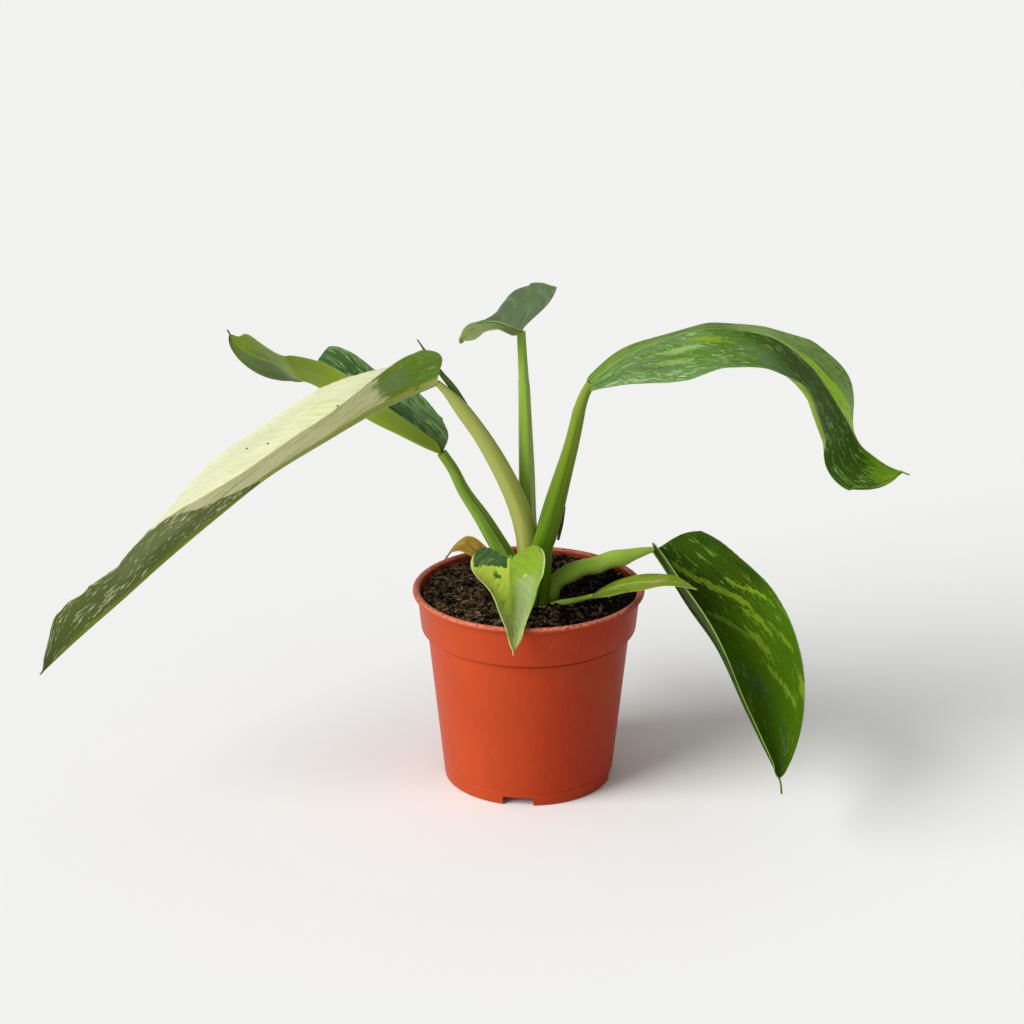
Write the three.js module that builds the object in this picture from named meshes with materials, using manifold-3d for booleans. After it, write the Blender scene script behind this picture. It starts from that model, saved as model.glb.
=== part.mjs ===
// A potted Jose Buono philodendron: seven leaves on grooved stalks that rise from one short
// crown, in dark peat, in a round plastic nursery pot with a collar and notched foot.
// Millimetres, +Z up. The origin is the centre of the pot's base, on the surface it stands on.
// -Y is the front, where the small heart-shaped leaf hangs over the rim.

import * as THREE from "three";
import { mergeVertices } from "three/addons/utils/BufferGeometryUtils.js";
import Module from "manifold-3d";

const wasm = await Module();
wasm.setup();

// Clearance between pieces that touch
const GAP = 0.3;

// Detail below this size is merged away
const SLIVER = 0.004;

// Pot
const POT_HEIGHT = 105.5;
const LIP_RADIUS = 60.6;
const LIP_HEIGHT = 3.2;
const COLLAR_TOP_RADIUS = 58.2;
const COLLAR_FOOT_RADIUS = 56.3;
const COLLAR_FOOT_HEIGHT = 84.5;
const BODY_TOP_RADIUS = 52.6;
const BODY_TOP_HEIGHT = 81.5;
const BASE_RADIUS = 44.5;
const COLLAR_SLOPE = 1.6;
const WALL = 1.4;
const FOOT_HEIGHT = 4.6;
const HUB_RADIUS = 28;
const POT_SIDES = 48;
const LIP_STEPS = 4;
const NOTCH_COUNT = 4;
const NOTCH_WIDTH = 16;
const NOTCH_DEPTH = 8;
const NOTCH_TURN = 0.127;
const DRAIN_RADIUS = 3.5;
const DRAIN_RING = 35.5;
const DRAIN_SIDES = 12;

// Peat
const SOIL_LEVEL = 99.2;
const SOIL_PLAY = 0.5;
const SOIL_RINGS = 7;
const SOIL_SIDES = 32;
const BACK_SLOPE = 0.025;
const HUMP_HEIGHT = 2.5;
const HUMP_AT = [26, 22];
const HUMP_SPREAD = 16;
const RIPPLE_HEIGHT = 0.7;
const RIPPLE_SPACING = [5, 6];

// Crown, the short stem just under the peat
const CROWN_AT = [6, -1];
const CROWN_RADIUS = 9;
const CROWN_TOP = 88;
const CROWN_SHOULDER = 80;
const CROWN_FOOT = 64;
const CROWN_SIDES = 16;

// Blades
const SHEET = 0.8;
const ARC_STEPS = 200;
const STEP = 1e-3;
const LOBE_REACH = 0.4;
const BIG_BLADE_STEPS = 22;
const SMALL_BLADE_STEPS = 12;
const BIG_COLUMNS = [0, 0.08, 0.3, 0.55, 0.8, 1];
const SMALL_COLUMNS = [0, 0.1, 0.4, 0.7, 1];
const TIP_HALF_WIDTH = 0.35;
const FOLD_FROM = 6;

// Stalks
const STALK_SIDES = 8;
const STALK_STEPS = 11;
const GROOVE = 0.35;

// Colours
const TERRACOTTA = 0xb4482c;
const PEAT = 0x2b1f18;
const CREAM = 0xd8d9b4;
const LIME = 0x9cb83c;
const FRESH_GREEN = 0x7da33a;
const MID_GREEN = 0x5f8038;
const DARK_GREEN = 0x3c5f22;
const OLIVE = 0x98a35a;
const STRAW = 0xb29a3e;
const DRY_BROWN = 0x4a3222;

// Each leaf. Its midrib runs from the stalk to the tip and its stalk from the crown to the
// blade. Lifts are how far each half stands above level, in degrees, and curls how far it then
// turns towards its margin, both at stations evenly spaced from base to tip. The right half is
// on the right of someone who looks along the heading. Pairs are left half, right half.
// baseShare is the width at the base as a share of the full one. lobes are how far the base
// reaches back: lobePower sets where across the half it is furthest, and lobeClose 1 brings
// the margin itself forward again. tipPower shapes the tip, and drip is its drawn-out share.
// wave is the margin's height, count and phase, and rib how far the midrib stands out below.
const LEAVES = {
  arching: {
    heading: [1, -0.06],
    colour: DARK_GREEN,
    stalkColour: FRESH_GREEN,
    midrib: [
      [31, -6, 218],
      [48, -5, 231],
      [66, -4, 239],
      [86, -4, 245],
      [101, -4, 245],
      [122, -5, 241],
      [139, -6, 229],
      [149, -6, 217],
      [160, -7, 200],
      [168, -9, 186],
      [175, -10, 180],
      [183, -12, 175],
      [193, -16, 172],
    ],
    halfWidth: 39,
    widest: 0.34,
    baseShare: [0.4, 0.28],
    tipPower: [5, 0.7],
    drip: 0.02,
    lobes: [2, 2],
    lobeClose: 1,
    lobePower: 1.4,
    leftLift: [-3, -6.5, -10.5, -12, -7, 6, 13, -12, -20],
    rightLift: [-14, -20, -24, -13, -8, -13, -25, -46, -40],
    leftCurl: [0, 0, 0],
    rightCurl: [0, 0, 0],
    wave: [1.2, 3, 0.5],
    rib: 2,
    stalk: [
      [7, -5, 84],
      [6.5, -7, 99],
      [6.4, -8, 117],
      [6.4, -8, 130],
      [8.7, -8, 138],
      [13.9, -8, 158],
      [20.4, -7.5, 182],
      [23.4, -7, 195],
      [25.5, -7, 205],
      [28, -6.5, 212],
      [31, -6, 217.5],
    ],
    stalkWidths: [8, 8.4, 10.6, 12.4, 12, 10, 8.2, 7, 5],
  },
  long_cream: {
    heading: [-1, -0.18],
    colour: CREAM,
    stalkColour: OLIVE,
    midrib: [
      [-46, -14, 221],
      [-76, -18, 208],
      [-103, -23, 193],
      [-131, -29, 176.5],
      [-156, -34, 157.3],
      [-183, -40, 135.2],
      [-206, -45, 115],
      [-228, -50, 96.2],
      [-247, -55, 79],
    ],
    halfWidth: 25.5,
    widest: 0.3,
    baseShare: [0.85, 0.5],
    tipPower: [6, 1],
    drip: 0,
    lobes: [7, 3],
    lobeClose: 1,
    lobePower: 1.4,
    leftLift: [70, 52, 39, 37, 44, 56, 54, 78, 60],
    rightLift: [50, 50, 48, 46, 41, 28, 18, 15, 20],
    leftCurl: [0, 0, 0],
    rightCurl: [0, 0, 0],
    wave: [1, 4, 0.4],
    rib: 1.8,
    stalk: [
      [3, 1, 84],
      [2.4, 0.5, 104],
      [0.6, 0, 120],
      [-0.9, 0, 135],
      [-5.4, -1, 152],
      [-12.4, -3.5, 169],
      [-22.3, -7, 188],
      [-32, -10, 203],
      [-39.4, -12.5, 213],
      [-46, -14, 220],
    ],
    stalkWidths: [12, 13, 12.6, 12.4, 12, 11, 9.6, 8.8, 8],
  },
  heart: {
    heading: [0.04, -1],
    colour: LIME,
    stalkColour: FRESH_GREEN,
    midrib: [
      [-10, -22, 129],
      [-10, -34, 122],
      [-9, -46, 115],
      [-9, -58, 108],
      [-8, -66, 102],
      [-8, -70, 95.5],
    ],
    halfWidth: 20,
    widest: 0.12,
    baseShare: [0.92, 0.95],
    tipPower: [1.6, 0.95],
    drip: 0.03,
    lobes: [5, 7],
    lobeClose: 1,
    lobePower: 1.5,
    leftLift: [20, 15, 15],
    rightLift: [0, 30, 50],
    leftCurl: [20, 30, 30],
    rightCurl: [0, 50, 50],
    wave: [0.5, 2, 0],
    rib: 1.2,
    stalk: [
      [4, -6, 84],
      [2, -11, 103],
      [-4, -16, 118],
      [-9, -21, 128],
      [-10, -22, 129],
    ],
    stalkWidths: [5.6, 5, 3.8],
  },
  narrow: {
    heading: [0.7, -0.72],
    colour: OLIVE,
    stalkColour: FRESH_GREEN,
    midrib: [
      [33.5, -18, 107],
      [41.4, -26, 114],
      [51, -37, 121],
      [60.4, -48, 126],
      [70.6, -60, 131],
      [82.1, -73, 132],
    ],
    halfWidth: 8,
    widest: 0.45,
    baseShare: [0.3, 0.3],
    tipPower: [2.4, 1],
    drip: 0.02,
    lobes: [0.5, 0.5],
    lobeClose: 1,
    lobePower: 1.4,
    leftLift: [25, 20, 0],
    rightLift: [-35, -20, 0],
    leftCurl: [0, 0, 0],
    rightCurl: [0, 0, 0],
    wave: [0.3, 2, 0],
    rib: 0.8,
    stalk: [
      [11, -4, 84],
      [12, -7, 95],
      [13.8, -9.2, 98.8],
      [24, -13, 102.5],
      [33.5, -18, 107],
    ],
    stalkWidths: [5, 4, 2.6],
  },
  low_right: {
    heading: [0.49, -0.87],
    colour: DARK_GREEN,
    stalkColour: FRESH_GREEN,
    midrib: [
      [66, 4, 124],
      [72, -9, 118],
      [83, -30, 105],
      [96, -52, 91],
      [108, -80, 70],
      [115, -98, 59],
      [121, -114, 50],
      [122, -120, 44],
    ],
    halfWidth: 40,
    widest: 0.33,
    baseShare: [0.66, 0.15],
    tipPower: [2.3, 0.8],
    drip: 0.05,
    lobes: [3, 1],
    lobeClose: 1,
    lobePower: 1.4,
    leftLift: [18, 24, 25, 25, 20],
    rightLift: [62, 62, 62, 62, 62],
    leftCurl: [0, 0, 0],
    rightCurl: [0, 0, 0],
    wave: [1, 3, 1],
    rib: 1.8,
    stalk: [
      [12, 1, 84],
      [11, 0, 99],
      [12.5, -1, 106],
      [19.6, -1, 112],
      [28, 0, 115.5],
      [38.4, 1, 118.3],
      [45.7, 1.5, 120.5],
      [53, 2.5, 121.8],
      [61.3, 3.5, 123.7],
      [66, 4, 124.2],
    ],
    stalkWidths: [8, 9, 10, 9.4, 10.2, 9.8, 10.2, 6.6, 2.8],
  },
  top: {
    heading: [-0.93, 0.37],
    colour: MID_GREEN,
    stalkColour: FRESH_GREEN,
    midrib: [
      [-4, 10, 240.3],
      [-8, 12, 241.3],
      [-12, 14, 242.3],
      [-16.3, 16, 243.3],
      [-22, 18, 243.2],
      [-27, 19.8, 242.3],
      [-31.6, 21.2, 240.4],
      [-34.4, 21.8, 236.4],
      [-34.8, 22, 230.6],
    ],
    halfWidth: 27.5,
    widest: 0.1,
    baseShare: [0.95, 1],
    tipPower: [1.6, 0.6],
    drip: 0,
    lobes: [6, 8],
    lobeClose: 0.6,
    lobePower: 1.3,
    leftLift: [13, 13, 5, -4, -11, -16, -17, -16, -15],
    rightLift: [57, 56, 44, 20, 0, -10, -11, -11, -11],
    leftCurl: [0, 0, 0],
    rightCurl: [0, 0, 0],
    wave: [0.5, 2, 0],
    rib: 1,
    stalk: [
      [6, 5, 84],
      [4, 5, 107],
      [1, 6, 128],
      [-0.3, 6, 141],
      [-0.9, 7, 166],
      [-1.7, 8, 190],
      [-2.4, 9, 210],
      [-3.5, 10, 230],
      [-4, 10, 240],
    ],
    stalkWidths: [9.2, 9, 8.6, 8, 6.8, 5.5, 4.5],
  },
  back_left: {
    heading: [-0.88, 0.47],
    colour: DARK_GREEN,
    stalkColour: FRESH_GREEN,
    midrib: [
      [-45, 12, 174.5],
      [-54, 17, 176.7],
      [-67, 24, 181],
      [-85, 34, 187],
      [-111, 50, 199],
      [-123, 56, 202],
      [-135, 63, 208],
      [-148, 69, 211],
      [-156, 73, 215.5],
      [-161, 75, 223],
    ],
    halfWidth: 27,
    widest: 0.4,
    baseShare: [0.4, 0.65],
    tipPower: [4, 0.75],
    drip: 0.02,
    lobes: [0, -6],
    lobeClose: 0.5,
    lobePower: 3,
    leftLift: [60, 56, 55, 57, 58, 49, 38, 50, 40],
    rightLift: [50, 50, 44, 36, 42, 30, -33, -46, -45],
    leftCurl: [0, 0, 0],
    rightCurl: [0, 0, 0],
    wave: [0.8, 3, 1.2],
    rib: 1,
    stalk: [
      [0, 4, 84],
      [-5, 6, 106],
      [-12.8, 6, 121],
      [-17, 7, 128],
      [-24.6, 8, 141],
      [-33.4, 10, 154],
      [-39, 12, 165],
      [-45, 12, 174.5],
    ],
    stalkWidths: [9, 10, 9.4, 6.8, 5.4],
  },
};

// The withered leaf, which lies over the rim at the back left, from the peat to its tip
const WITHERED = {
  heading: [-0.7, 0.7],
  midrib: [
    [-13, 12.5, 96],
    [-17, 17, 105],
    [-24, 25, 112],
    [-31, 33, 113],
    [-37.5, 41, 110],
    [-43, 46.5, 105],
    [-46, 49.5, 98],
  ],
  halfWidth: 4.5,
  widest: 0.5,
  baseShare: [0.4, 0.4],
  tipPower: [2, 0.8],
  drip: 0.02,
  lobes: [0, 0],
  lobeClose: 1,
  lobePower: 1.4,
  leftLift: [20, 30, 40],
  rightLift: [-20, -10, 10],
  leftCurl: [0, 40, 60],
  rightCurl: [0, -30, -40],
  wave: [0.6, 3, 0],
  rib: 0.5,
  hole: [
    [-10.5, 11, 91],
    [-13, 12.5, 96],
    [-17, 17, 105],
  ],
  holeWidths: [6, 7, 8],
};

// The newest leaf, still rolled, which points out of the long leaf's grooved stalk
const SPEAR = [
  [-33, -9, 207],
  [-38, -10, 216],
  [-44, -11, 224],
  [-50, -12, 233],
  [-56, -12, 242],
];
const SPEAR_WIDTHS = [5, 3.6, 2.2, 0.7];

// The dried sheath that clings to the arching leaf's stalk
const DRIED_SHEATH = [
  [15, -8, 134],
  [16.6, -8, 142],
  [18.5, -8, 152],
];
const DRIED_WIDTHS = [1.6, 2, 0.8];

// A three.js geometry as a solid: shared vertices merged, collapsed triangles dropped.
function solidOf(geometry) {
  const bare = geometry.clone();
  bare.deleteAttribute("normal");
  bare.deleteAttribute("uv");
  const merged = mergeVertices(bare, 1e-3);
  const corners = merged.index.array;
  const kept = [];
  for (let i = 0; i < corners.length; i += 3) {
    const [a, b, c] = [corners[i], corners[i + 1], corners[i + 2]];
    if (a !== b && b !== c && c !== a) kept.push(a, b, c);
  }
  return new wasm.Manifold(
    new wasm.Mesh({
      numProp: 3,
      vertProperties: new Float32Array(merged.attributes.position.array),
      triVerts: new Uint32Array(kept),
    }),
  );
}

// The largest body of a solid, without the slivers that a cut leaves, as a three.js geometry.
function geometryOf(solid) {
  const bodies = solid
    .simplify(SLIVER)
    .decompose()
    .sort((a, b) => b.volume() - a.volume());
  const mesh = bodies[0].getMesh();
  const geometry = new THREE.BufferGeometry();
  geometry.setAttribute("position", new THREE.BufferAttribute(mesh.vertProperties, 3));
  geometry.setIndex(new THREE.BufferAttribute(mesh.triVerts, 1));
  geometry.computeVertexNormals();
  return geometry;
}

// A profile of [radius, height] points, turned about +Z.
function turned(profile, sides) {
  const points = profile.map(([radius, height]) => new THREE.Vector2(radius, height));
  return new THREE.LatheGeometry(points, sides).rotateX(Math.PI / 2);
}

function curveThrough(points) {
  const curve = new THREE.CatmullRomCurve3(
    points.map((point) => new THREE.Vector3(...point)),
    false,
    "catmullrom",
    0.5,
  );
  curve.arcLengthDivisions = ARC_STEPS;
  return curve;
}

// A value on the smooth curve through stations that are evenly spaced from 0 to 1.
function through(stations, u) {
  const points = stations.map((value, i) => new THREE.Vector2(i, value));
  return new THREE.SplineCurve(points).getPoint(u).y;
}

// The level direction across a heading, to its right.
function levelAcross([x, y]) {
  return new THREE.Vector3(y, -x, 0).normalize();
}

// Squares the level direction to a tangent, and gives the direction of the upper face.
function frameAt(tangent, across) {
  const side = across.clone().addScaledVector(tangent, -across.dot(tangent)).normalize();
  return { side, up: side.clone().cross(tangent) };
}

// Half the blade's width, from a heart-shaped base through its widest place to a drawn tip.
function halfWidthAt(leaf, u, right) {
  const { halfWidth, widest, tipPower, drip } = leaf;
  if (u < widest) {
    return halfWidth * (1 - (1 - leaf.baseShare[right]) * (1 - u / widest) ** 2);
  }
  const share = Math.min(1, (u - widest) / (1 - drip - widest));
  return Math.max(TIP_HALF_WIDTH, halfWidth * (1 - share ** tipPower[0]) ** tipPower[1]);
}

// One half's section, for a half width of 1: straight at its lift to half way out, then an
// arc that turns by its curl.
function sectionAt(lift, curl, out) {
  const straight = Math.min(out, 0.5);
  const bent = out - straight;
  const turn = THREE.MathUtils.degToRad(curl) * bent * 2;
  const start = THREE.MathUtils.degToRad(lift);
  const chord = Math.abs(turn) < 1e-6 ? bent : (bent * Math.sin(turn / 2)) / (turn / 2);
  return [
    straight * Math.cos(start) + chord * Math.cos(start + turn / 2),
    straight * Math.sin(start) + chord * Math.sin(start + turn / 2),
  ];
}

// The blade's middle surface: u from base to tip, v from the left margin at -1 to the right.
function bladeSurface(leaf) {
  const midrib = curveThrough(leaf.midrib);
  const across = levelAcross(leaf.heading);
  const [waveHeight, waveCount, wavePhase] = leaf.wave;
  return (u, v) => {
    const tangent = midrib.getTangentAt(u);
    const { side, up } = frameAt(tangent, across);
    const out = Math.abs(v);
    const right = v > 0 ? 1 : 0;
    const width = halfWidthAt(leaf, u, right);
    const folded = Math.min(1, width / FOLD_FROM);
    const lifts = [through(leaf.leftLift, u), through(leaf.rightLift, u)];
    const fold = (folded * (lifts[0] + lifts[1])) / 2;
    const tilt = (lifts[right] - lifts[1 - right]) / 2;
    const curl = folded * through(right ? leaf.rightCurl : leaf.leftCurl, u);
    const [sideways, upwards] = sectionAt(fold + tilt, curl, out);
    const fade = Math.max(0, 1 - u / LOBE_REACH) ** 2;
    const back = leaf.lobes[right] * fade * Math.sin(Math.PI * leaf.lobeClose * out ** leaf.lobePower);
    const phase = wavePhase + 2 * right;
    const wave = waveHeight * Math.sin(2 * Math.PI * waveCount * u + phase) * out ** 3 * (1 - u);
    return midrib
      .getPointAt(u)
      .addScaledVector(tangent, -back)
      .addScaledVector(side, Math.sign(v) * width * sideways)
      .addScaledVector(up, width * upwards + wave);
  };
}

function normalAt(surface, u, v) {
  const along = surface(Math.min(1, u + STEP), v).sub(surface(Math.max(0, u - STEP), v));
  const outwards = surface(u, Math.min(1, v + STEP)).sub(surface(u, Math.max(-1, v - STEP)));
  return outwards.cross(along).normalize();
}

// A point of the surface, moved outwards where it lies on the edge.
function edgeGrown(surface, u, v, grow) {
  const inside = surface(
    THREE.MathUtils.clamp(u, STEP, 1 - STEP),
    THREE.MathUtils.clamp(v, STEP - 1, 1 - STEP),
  );
  const point = surface(u, v);
  const outwards = point.clone().sub(inside).normalize();
  return point.addScaledVector(outwards, 1.5 * grow);
}

// A blade: its two faces are split alike, and a rib stands out below the midrib.
function bladeGeometry(leaf, steps, columns, grow = 0) {
  const surface = bladeSurface(leaf);
  const places = [...columns.slice(1).reverse().map((v) => -v), ...columns];
  const sheet = new THREE.PlaneGeometry(2, 1, places.length - 1, steps);
  const grid = sheet.attributes.position;
  const row = places.length;
  const upper = [];
  const lower = [];
  for (let i = 0; i < grid.count; i += 1) {
    const u = grid.getY(i) + 0.5;
    const v = places[i % row];
    const point = edgeGrown(surface, u, v, grow);
    const normal = normalAt(surface, u, v);
    const rib = v === 0 ? leaf.rib * (1 - u) : 0;
    upper.push(...point.clone().addScaledVector(normal, SHEET / 2 + grow));
    lower.push(...point.clone().addScaledVector(normal, -SHEET / 2 - rib - grow));
  }
  const index = [...sheet.index.array];
  const faces = [...index];
  for (let i = 0; i < index.length; i += 3) {
    faces.push(index[i] + grid.count, index[i + 2] + grid.count, index[i + 1] + grid.count);
  }
  const edge = [];
  for (let i = 0; i < row - 1; i += 1) edge.push(steps * row + i);
  for (let j = steps; j > 0; j -= 1) edge.push(j * row + row - 1);
  for (let i = row - 1; i > 0; i -= 1) edge.push(i);
  for (let j = 0; j < steps; j += 1) edge.push(j * row);
  edge.forEach((here, k) => {
    const next = edge[(k + 1) % edge.length];
    faces.push(here, here + grid.count, next + grid.count);
    faces.push(here, next + grid.count, next);
  });
  const geometry = new THREE.BufferGeometry();
  geometry.setAttribute("position", new THREE.Float32BufferAttribute([...upper, ...lower], 3));
  geometry.setIndex(faces);
  return geometry;
}

// A stalk: a rod bent along its curve, flattened by a groove along its upper side.
function stalkGeometry(points, heading, widths, grow = 0) {
  const curve = curveThrough(points);
  const across = levelAcross(heading);
  const rod = new THREE.CylinderGeometry(1, 1, 1, STALK_SIDES, STALK_STEPS);
  const place = rod.attributes.position;
  for (let i = 0; i < place.count; i += 1) {
    const t = THREE.MathUtils.clamp(place.getY(i) + 0.5, 0, 1);
    const tangent = curve.getTangentAt(t);
    const { side, up } = frameAt(tangent, across);
    const end = Math.trunc(place.getY(i) * 2);
    const halfWidth = through(widths, t) / 2;
    const inner = Math.max(0, place.getZ(i));
    const depth = halfWidth * (place.getZ(i) - GROOVE * inner ** 6);
    const point = curve
      .getPointAt(t)
      .addScaledVector(side, place.getX(i) * (halfWidth + grow))
      .addScaledVector(up, depth + grow * place.getZ(i))
      .addScaledVector(tangent, 1.5 * grow * end);
    place.setXYZ(i, ...point);
  }
  return rod;
}

const plant = new THREE.Group();

function addPiece(name, geometry, color, roughness = 0.5) {
  const material = new THREE.MeshStandardMaterial({ color, roughness, metalness: 0 });
  const mesh = new THREE.Mesh(geometry, material);
  mesh.name = name;
  plant.add(mesh);
}

// Pot: one thin shell from the hub over the raised channel, up the wall, collar and lip
function potSolid() {
  const lipFoot = POT_HEIGHT - LIP_HEIGHT;
  const lipInside = COLLAR_TOP_RADIUS - WALL;
  const lipMiddle = (LIP_RADIUS + lipInside) / 2;
  const lip = [];
  for (let i = 0; i <= LIP_STEPS; i += 1) {
    const turn = (Math.PI * i) / LIP_STEPS;
    lip.push([
      lipMiddle + (LIP_RADIUS - lipMiddle) * Math.cos(turn),
      POT_HEIGHT - (LIP_HEIGHT / 2) * (1 - Math.sin(turn)),
    ]);
  }
  const shell = solidOf(
    turned(
      [
        [0, 0],
        [HUB_RADIUS, 0],
        [HUB_RADIUS, FOOT_HEIGHT],
        [BASE_RADIUS - WALL, FOOT_HEIGHT],
        [BASE_RADIUS - WALL, 0],
        [BASE_RADIUS, 0],
        [BODY_TOP_RADIUS, BODY_TOP_HEIGHT],
        [COLLAR_FOOT_RADIUS - COLLAR_SLOPE / 2, COLLAR_FOOT_HEIGHT - COLLAR_SLOPE],
        [COLLAR_FOOT_RADIUS, COLLAR_FOOT_HEIGHT],
        [COLLAR_TOP_RADIUS, lipFoot],
        ...lip,
        [COLLAR_FOOT_RADIUS - WALL, COLLAR_FOOT_HEIGHT + COLLAR_SLOPE / 2],
        [BODY_TOP_RADIUS - WALL, BODY_TOP_HEIGHT],
        [BASE_RADIUS - WALL, FOOT_HEIGHT + WALL],
        [HUB_RADIUS - WALL, FOOT_HEIGHT + WALL],
        [HUB_RADIUS - WALL, WALL],
        [0, WALL],
      ],
      POT_SIDES,
    ),
  );
  let pot = shell;
  for (let i = 0; i < NOTCH_COUNT; i += 1) {
    const turn = -Math.PI / 2 - NOTCH_TURN + (i * 2 * Math.PI) / NOTCH_COUNT;
    const notch = new THREE.BoxGeometry(NOTCH_DEPTH, NOTCH_WIDTH, FOOT_HEIGHT * 2)
      .translate(BASE_RADIUS, 0, 0)
      .rotateZ(turn);
    const drain = new THREE.CylinderGeometry(DRAIN_RADIUS, DRAIN_RADIUS, WALL * 3, DRAIN_SIDES)
      .rotateX(Math.PI / 2)
      .translate(DRAIN_RING, 0, FOOT_HEIGHT + WALL / 2)
      .rotateZ(turn);
    pot = pot.subtract(solidOf(notch)).subtract(solidOf(drain));
  }
  return pot;
}

// Peat's top: it rises a little to the back, with a hump of crumbs behind the crown
function soilHeight(x, y) {
  const away = ((x - HUMP_AT[0]) ** 2 + (y - HUMP_AT[1]) ** 2) / HUMP_SPREAD ** 2;
  const ripple = Math.sin(x / RIPPLE_SPACING[0] + 1) * Math.cos(y / RIPPLE_SPACING[1]);
  return SOIL_LEVEL + BACK_SLOPE * y + HUMP_HEIGHT * Math.exp(-away) + RIPPLE_HEIGHT * ripple;
}

// The peat fills the pot to its level, just clear of the wall
function soilSolid() {
  const clear = WALL + SOIL_PLAY;
  const foot = FOOT_HEIGHT + clear;
  const hub = HUB_RADIUS - clear;
  const topRadius = (COLLAR_FOOT_RADIUS + COLLAR_TOP_RADIUS) / 2 - clear;
  const profile = [
    [0, clear],
    [hub, clear],
    [hub, foot],
    [BASE_RADIUS - clear, foot],
    [BODY_TOP_RADIUS - clear, BODY_TOP_HEIGHT],
    [COLLAR_FOOT_RADIUS - clear, COLLAR_FOOT_HEIGHT + COLLAR_SLOPE],
  ];
  for (let i = SOIL_RINGS; i >= 0; i -= 1) {
    profile.push([(topRadius * i) / SOIL_RINGS, SOIL_LEVEL]);
  }
  const body = turned(profile, SOIL_SIDES);
  const place = body.attributes.position;
  for (let i = 0; i < place.count; i += 1) {
    if (place.getZ(i) > SOIL_LEVEL - 1) {
      place.setZ(i, soilHeight(place.getX(i), place.getY(i)));
    }
  }
  return solidOf(body);
}

function crownSolid(grow) {
  const radius = CROWN_RADIUS + grow;
  return solidOf(
    turned(
      [
        [0, CROWN_FOOT - grow],
        [radius * 0.7, CROWN_FOOT - grow],
        [radius, CROWN_SHOULDER],
        [radius * 0.8, (CROWN_SHOULDER + CROWN_TOP * 2) / 3 + grow],
        [0, CROWN_TOP + grow],
      ],
      CROWN_SIDES,
    ).translate(CROWN_AT[0], CROWN_AT[1], 0),
  );
}

function bladeSolid(leaf, grow) {
  const big = leaf.halfWidth > 25;
  const steps = big ? BIG_BLADE_STEPS : SMALL_BLADE_STEPS;
  const columns = big ? BIG_COLUMNS : SMALL_COLUMNS;
  return solidOf(bladeGeometry(leaf, steps, columns, grow));
}

function stalkSolid(points, heading, widths, grow) {
  return solidOf(stalkGeometry(points, heading, widths, grow));
}

let soil = soilSolid().subtract(crownSolid(GAP));
const taken = [crownSolid(GAP)];
for (const [name, leaf] of Object.entries(LEAVES)) {
  const { heading, stalkWidths } = leaf;
  let stalk = stalkSolid(leaf.stalk, heading, stalkWidths, 0).subtract(bladeSolid(leaf, GAP));
  const around = stalkSolid(leaf.stalk, heading, stalkWidths, GAP);
  for (const other of taken) stalk = stalk.subtract(other);
  taken.push(around);
  soil = soil.subtract(around);
  addPiece(`stalk_${name}`, geometryOf(stalk), leaf.stalkColour);
  addPiece(`blade_${name}`, geometryOf(bladeSolid(leaf, 0)), leaf.colour, 0.4);
}

// Newest leaf, clear of the stalk and blade that it points out of
const host = LEAVES.long_cream;
const spear = stalkSolid(SPEAR, host.heading, SPEAR_WIDTHS, 0)
  .subtract(stalkSolid(host.stalk, host.heading, host.stalkWidths, GAP))
  .subtract(bladeSolid(host, GAP));
addPiece("new_leaf_spear", geometryOf(spear), DARK_GREEN);

// Dried sheath, clear of the stalk that it clings to
const sheathed = LEAVES.arching;
const driedSheath = stalkSolid(DRIED_SHEATH, sheathed.heading, DRIED_WIDTHS, 0).subtract(
  stalkSolid(sheathed.stalk, sheathed.heading, sheathed.stalkWidths, GAP),
);
addPiece("dried_sheath", geometryOf(driedSheath), DRY_BROWN, 0.9);

soil = soil.subtract(stalkSolid(WITHERED.hole, WITHERED.heading, WITHERED.holeWidths, GAP));
addPiece("withered_leaf", geometryOf(bladeSolid(WITHERED, 0)), STRAW, 0.8);
addPiece("pot", geometryOf(potSolid()), TERRACOTTA);
addPiece("soil", geometryOf(soil), PEAT, 1);
addPiece("crown", geometryOf(crownSolid(0)), DRY_BROWN, 0.8);

export default plant;
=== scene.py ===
"""A potted Jose Buono philodendron: leaf blades with veins and variegation, grooved stalks, peat
with crumbs and fibres, and a round plastic nursery pot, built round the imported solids."""

import math
import random
from bisect import bisect_left

import bmesh
import bpy
from bpy.props import FloatProperty, FloatVectorProperty, IntProperty, PointerProperty
from mathutils import Matrix, Vector, noise


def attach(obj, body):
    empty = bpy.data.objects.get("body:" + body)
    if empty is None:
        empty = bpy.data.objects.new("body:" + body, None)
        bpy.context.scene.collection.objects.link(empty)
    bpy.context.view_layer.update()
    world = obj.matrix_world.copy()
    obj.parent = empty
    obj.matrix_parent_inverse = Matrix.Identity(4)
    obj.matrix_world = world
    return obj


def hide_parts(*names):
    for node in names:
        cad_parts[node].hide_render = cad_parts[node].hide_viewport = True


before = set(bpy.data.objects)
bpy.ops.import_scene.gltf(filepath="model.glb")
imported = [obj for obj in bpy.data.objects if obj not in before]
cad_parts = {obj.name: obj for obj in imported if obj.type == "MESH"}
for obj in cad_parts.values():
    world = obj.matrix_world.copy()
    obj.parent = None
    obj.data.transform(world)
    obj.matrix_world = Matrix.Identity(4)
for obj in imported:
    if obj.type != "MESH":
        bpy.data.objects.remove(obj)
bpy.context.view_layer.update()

bl_info = {
    "name": "Potted Jose Buono philodendron",
    "version": (1, 0, 0),
    "blender": (4, 5, 0),
    "location": "3D View > Sidebar > Plant",
    "description": "Builds the leaves, stalks, peat and pot of one potted plant, and its stage",
    "category": "Object",
}

# Lengths below are written in millimetres and turned to metres by this factor
MM = 0.001

# How finely a curve's length is measured, and how far apart the places are that give its direction
CURVE_STEPS = 200
NUDGE = 1e-4

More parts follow.
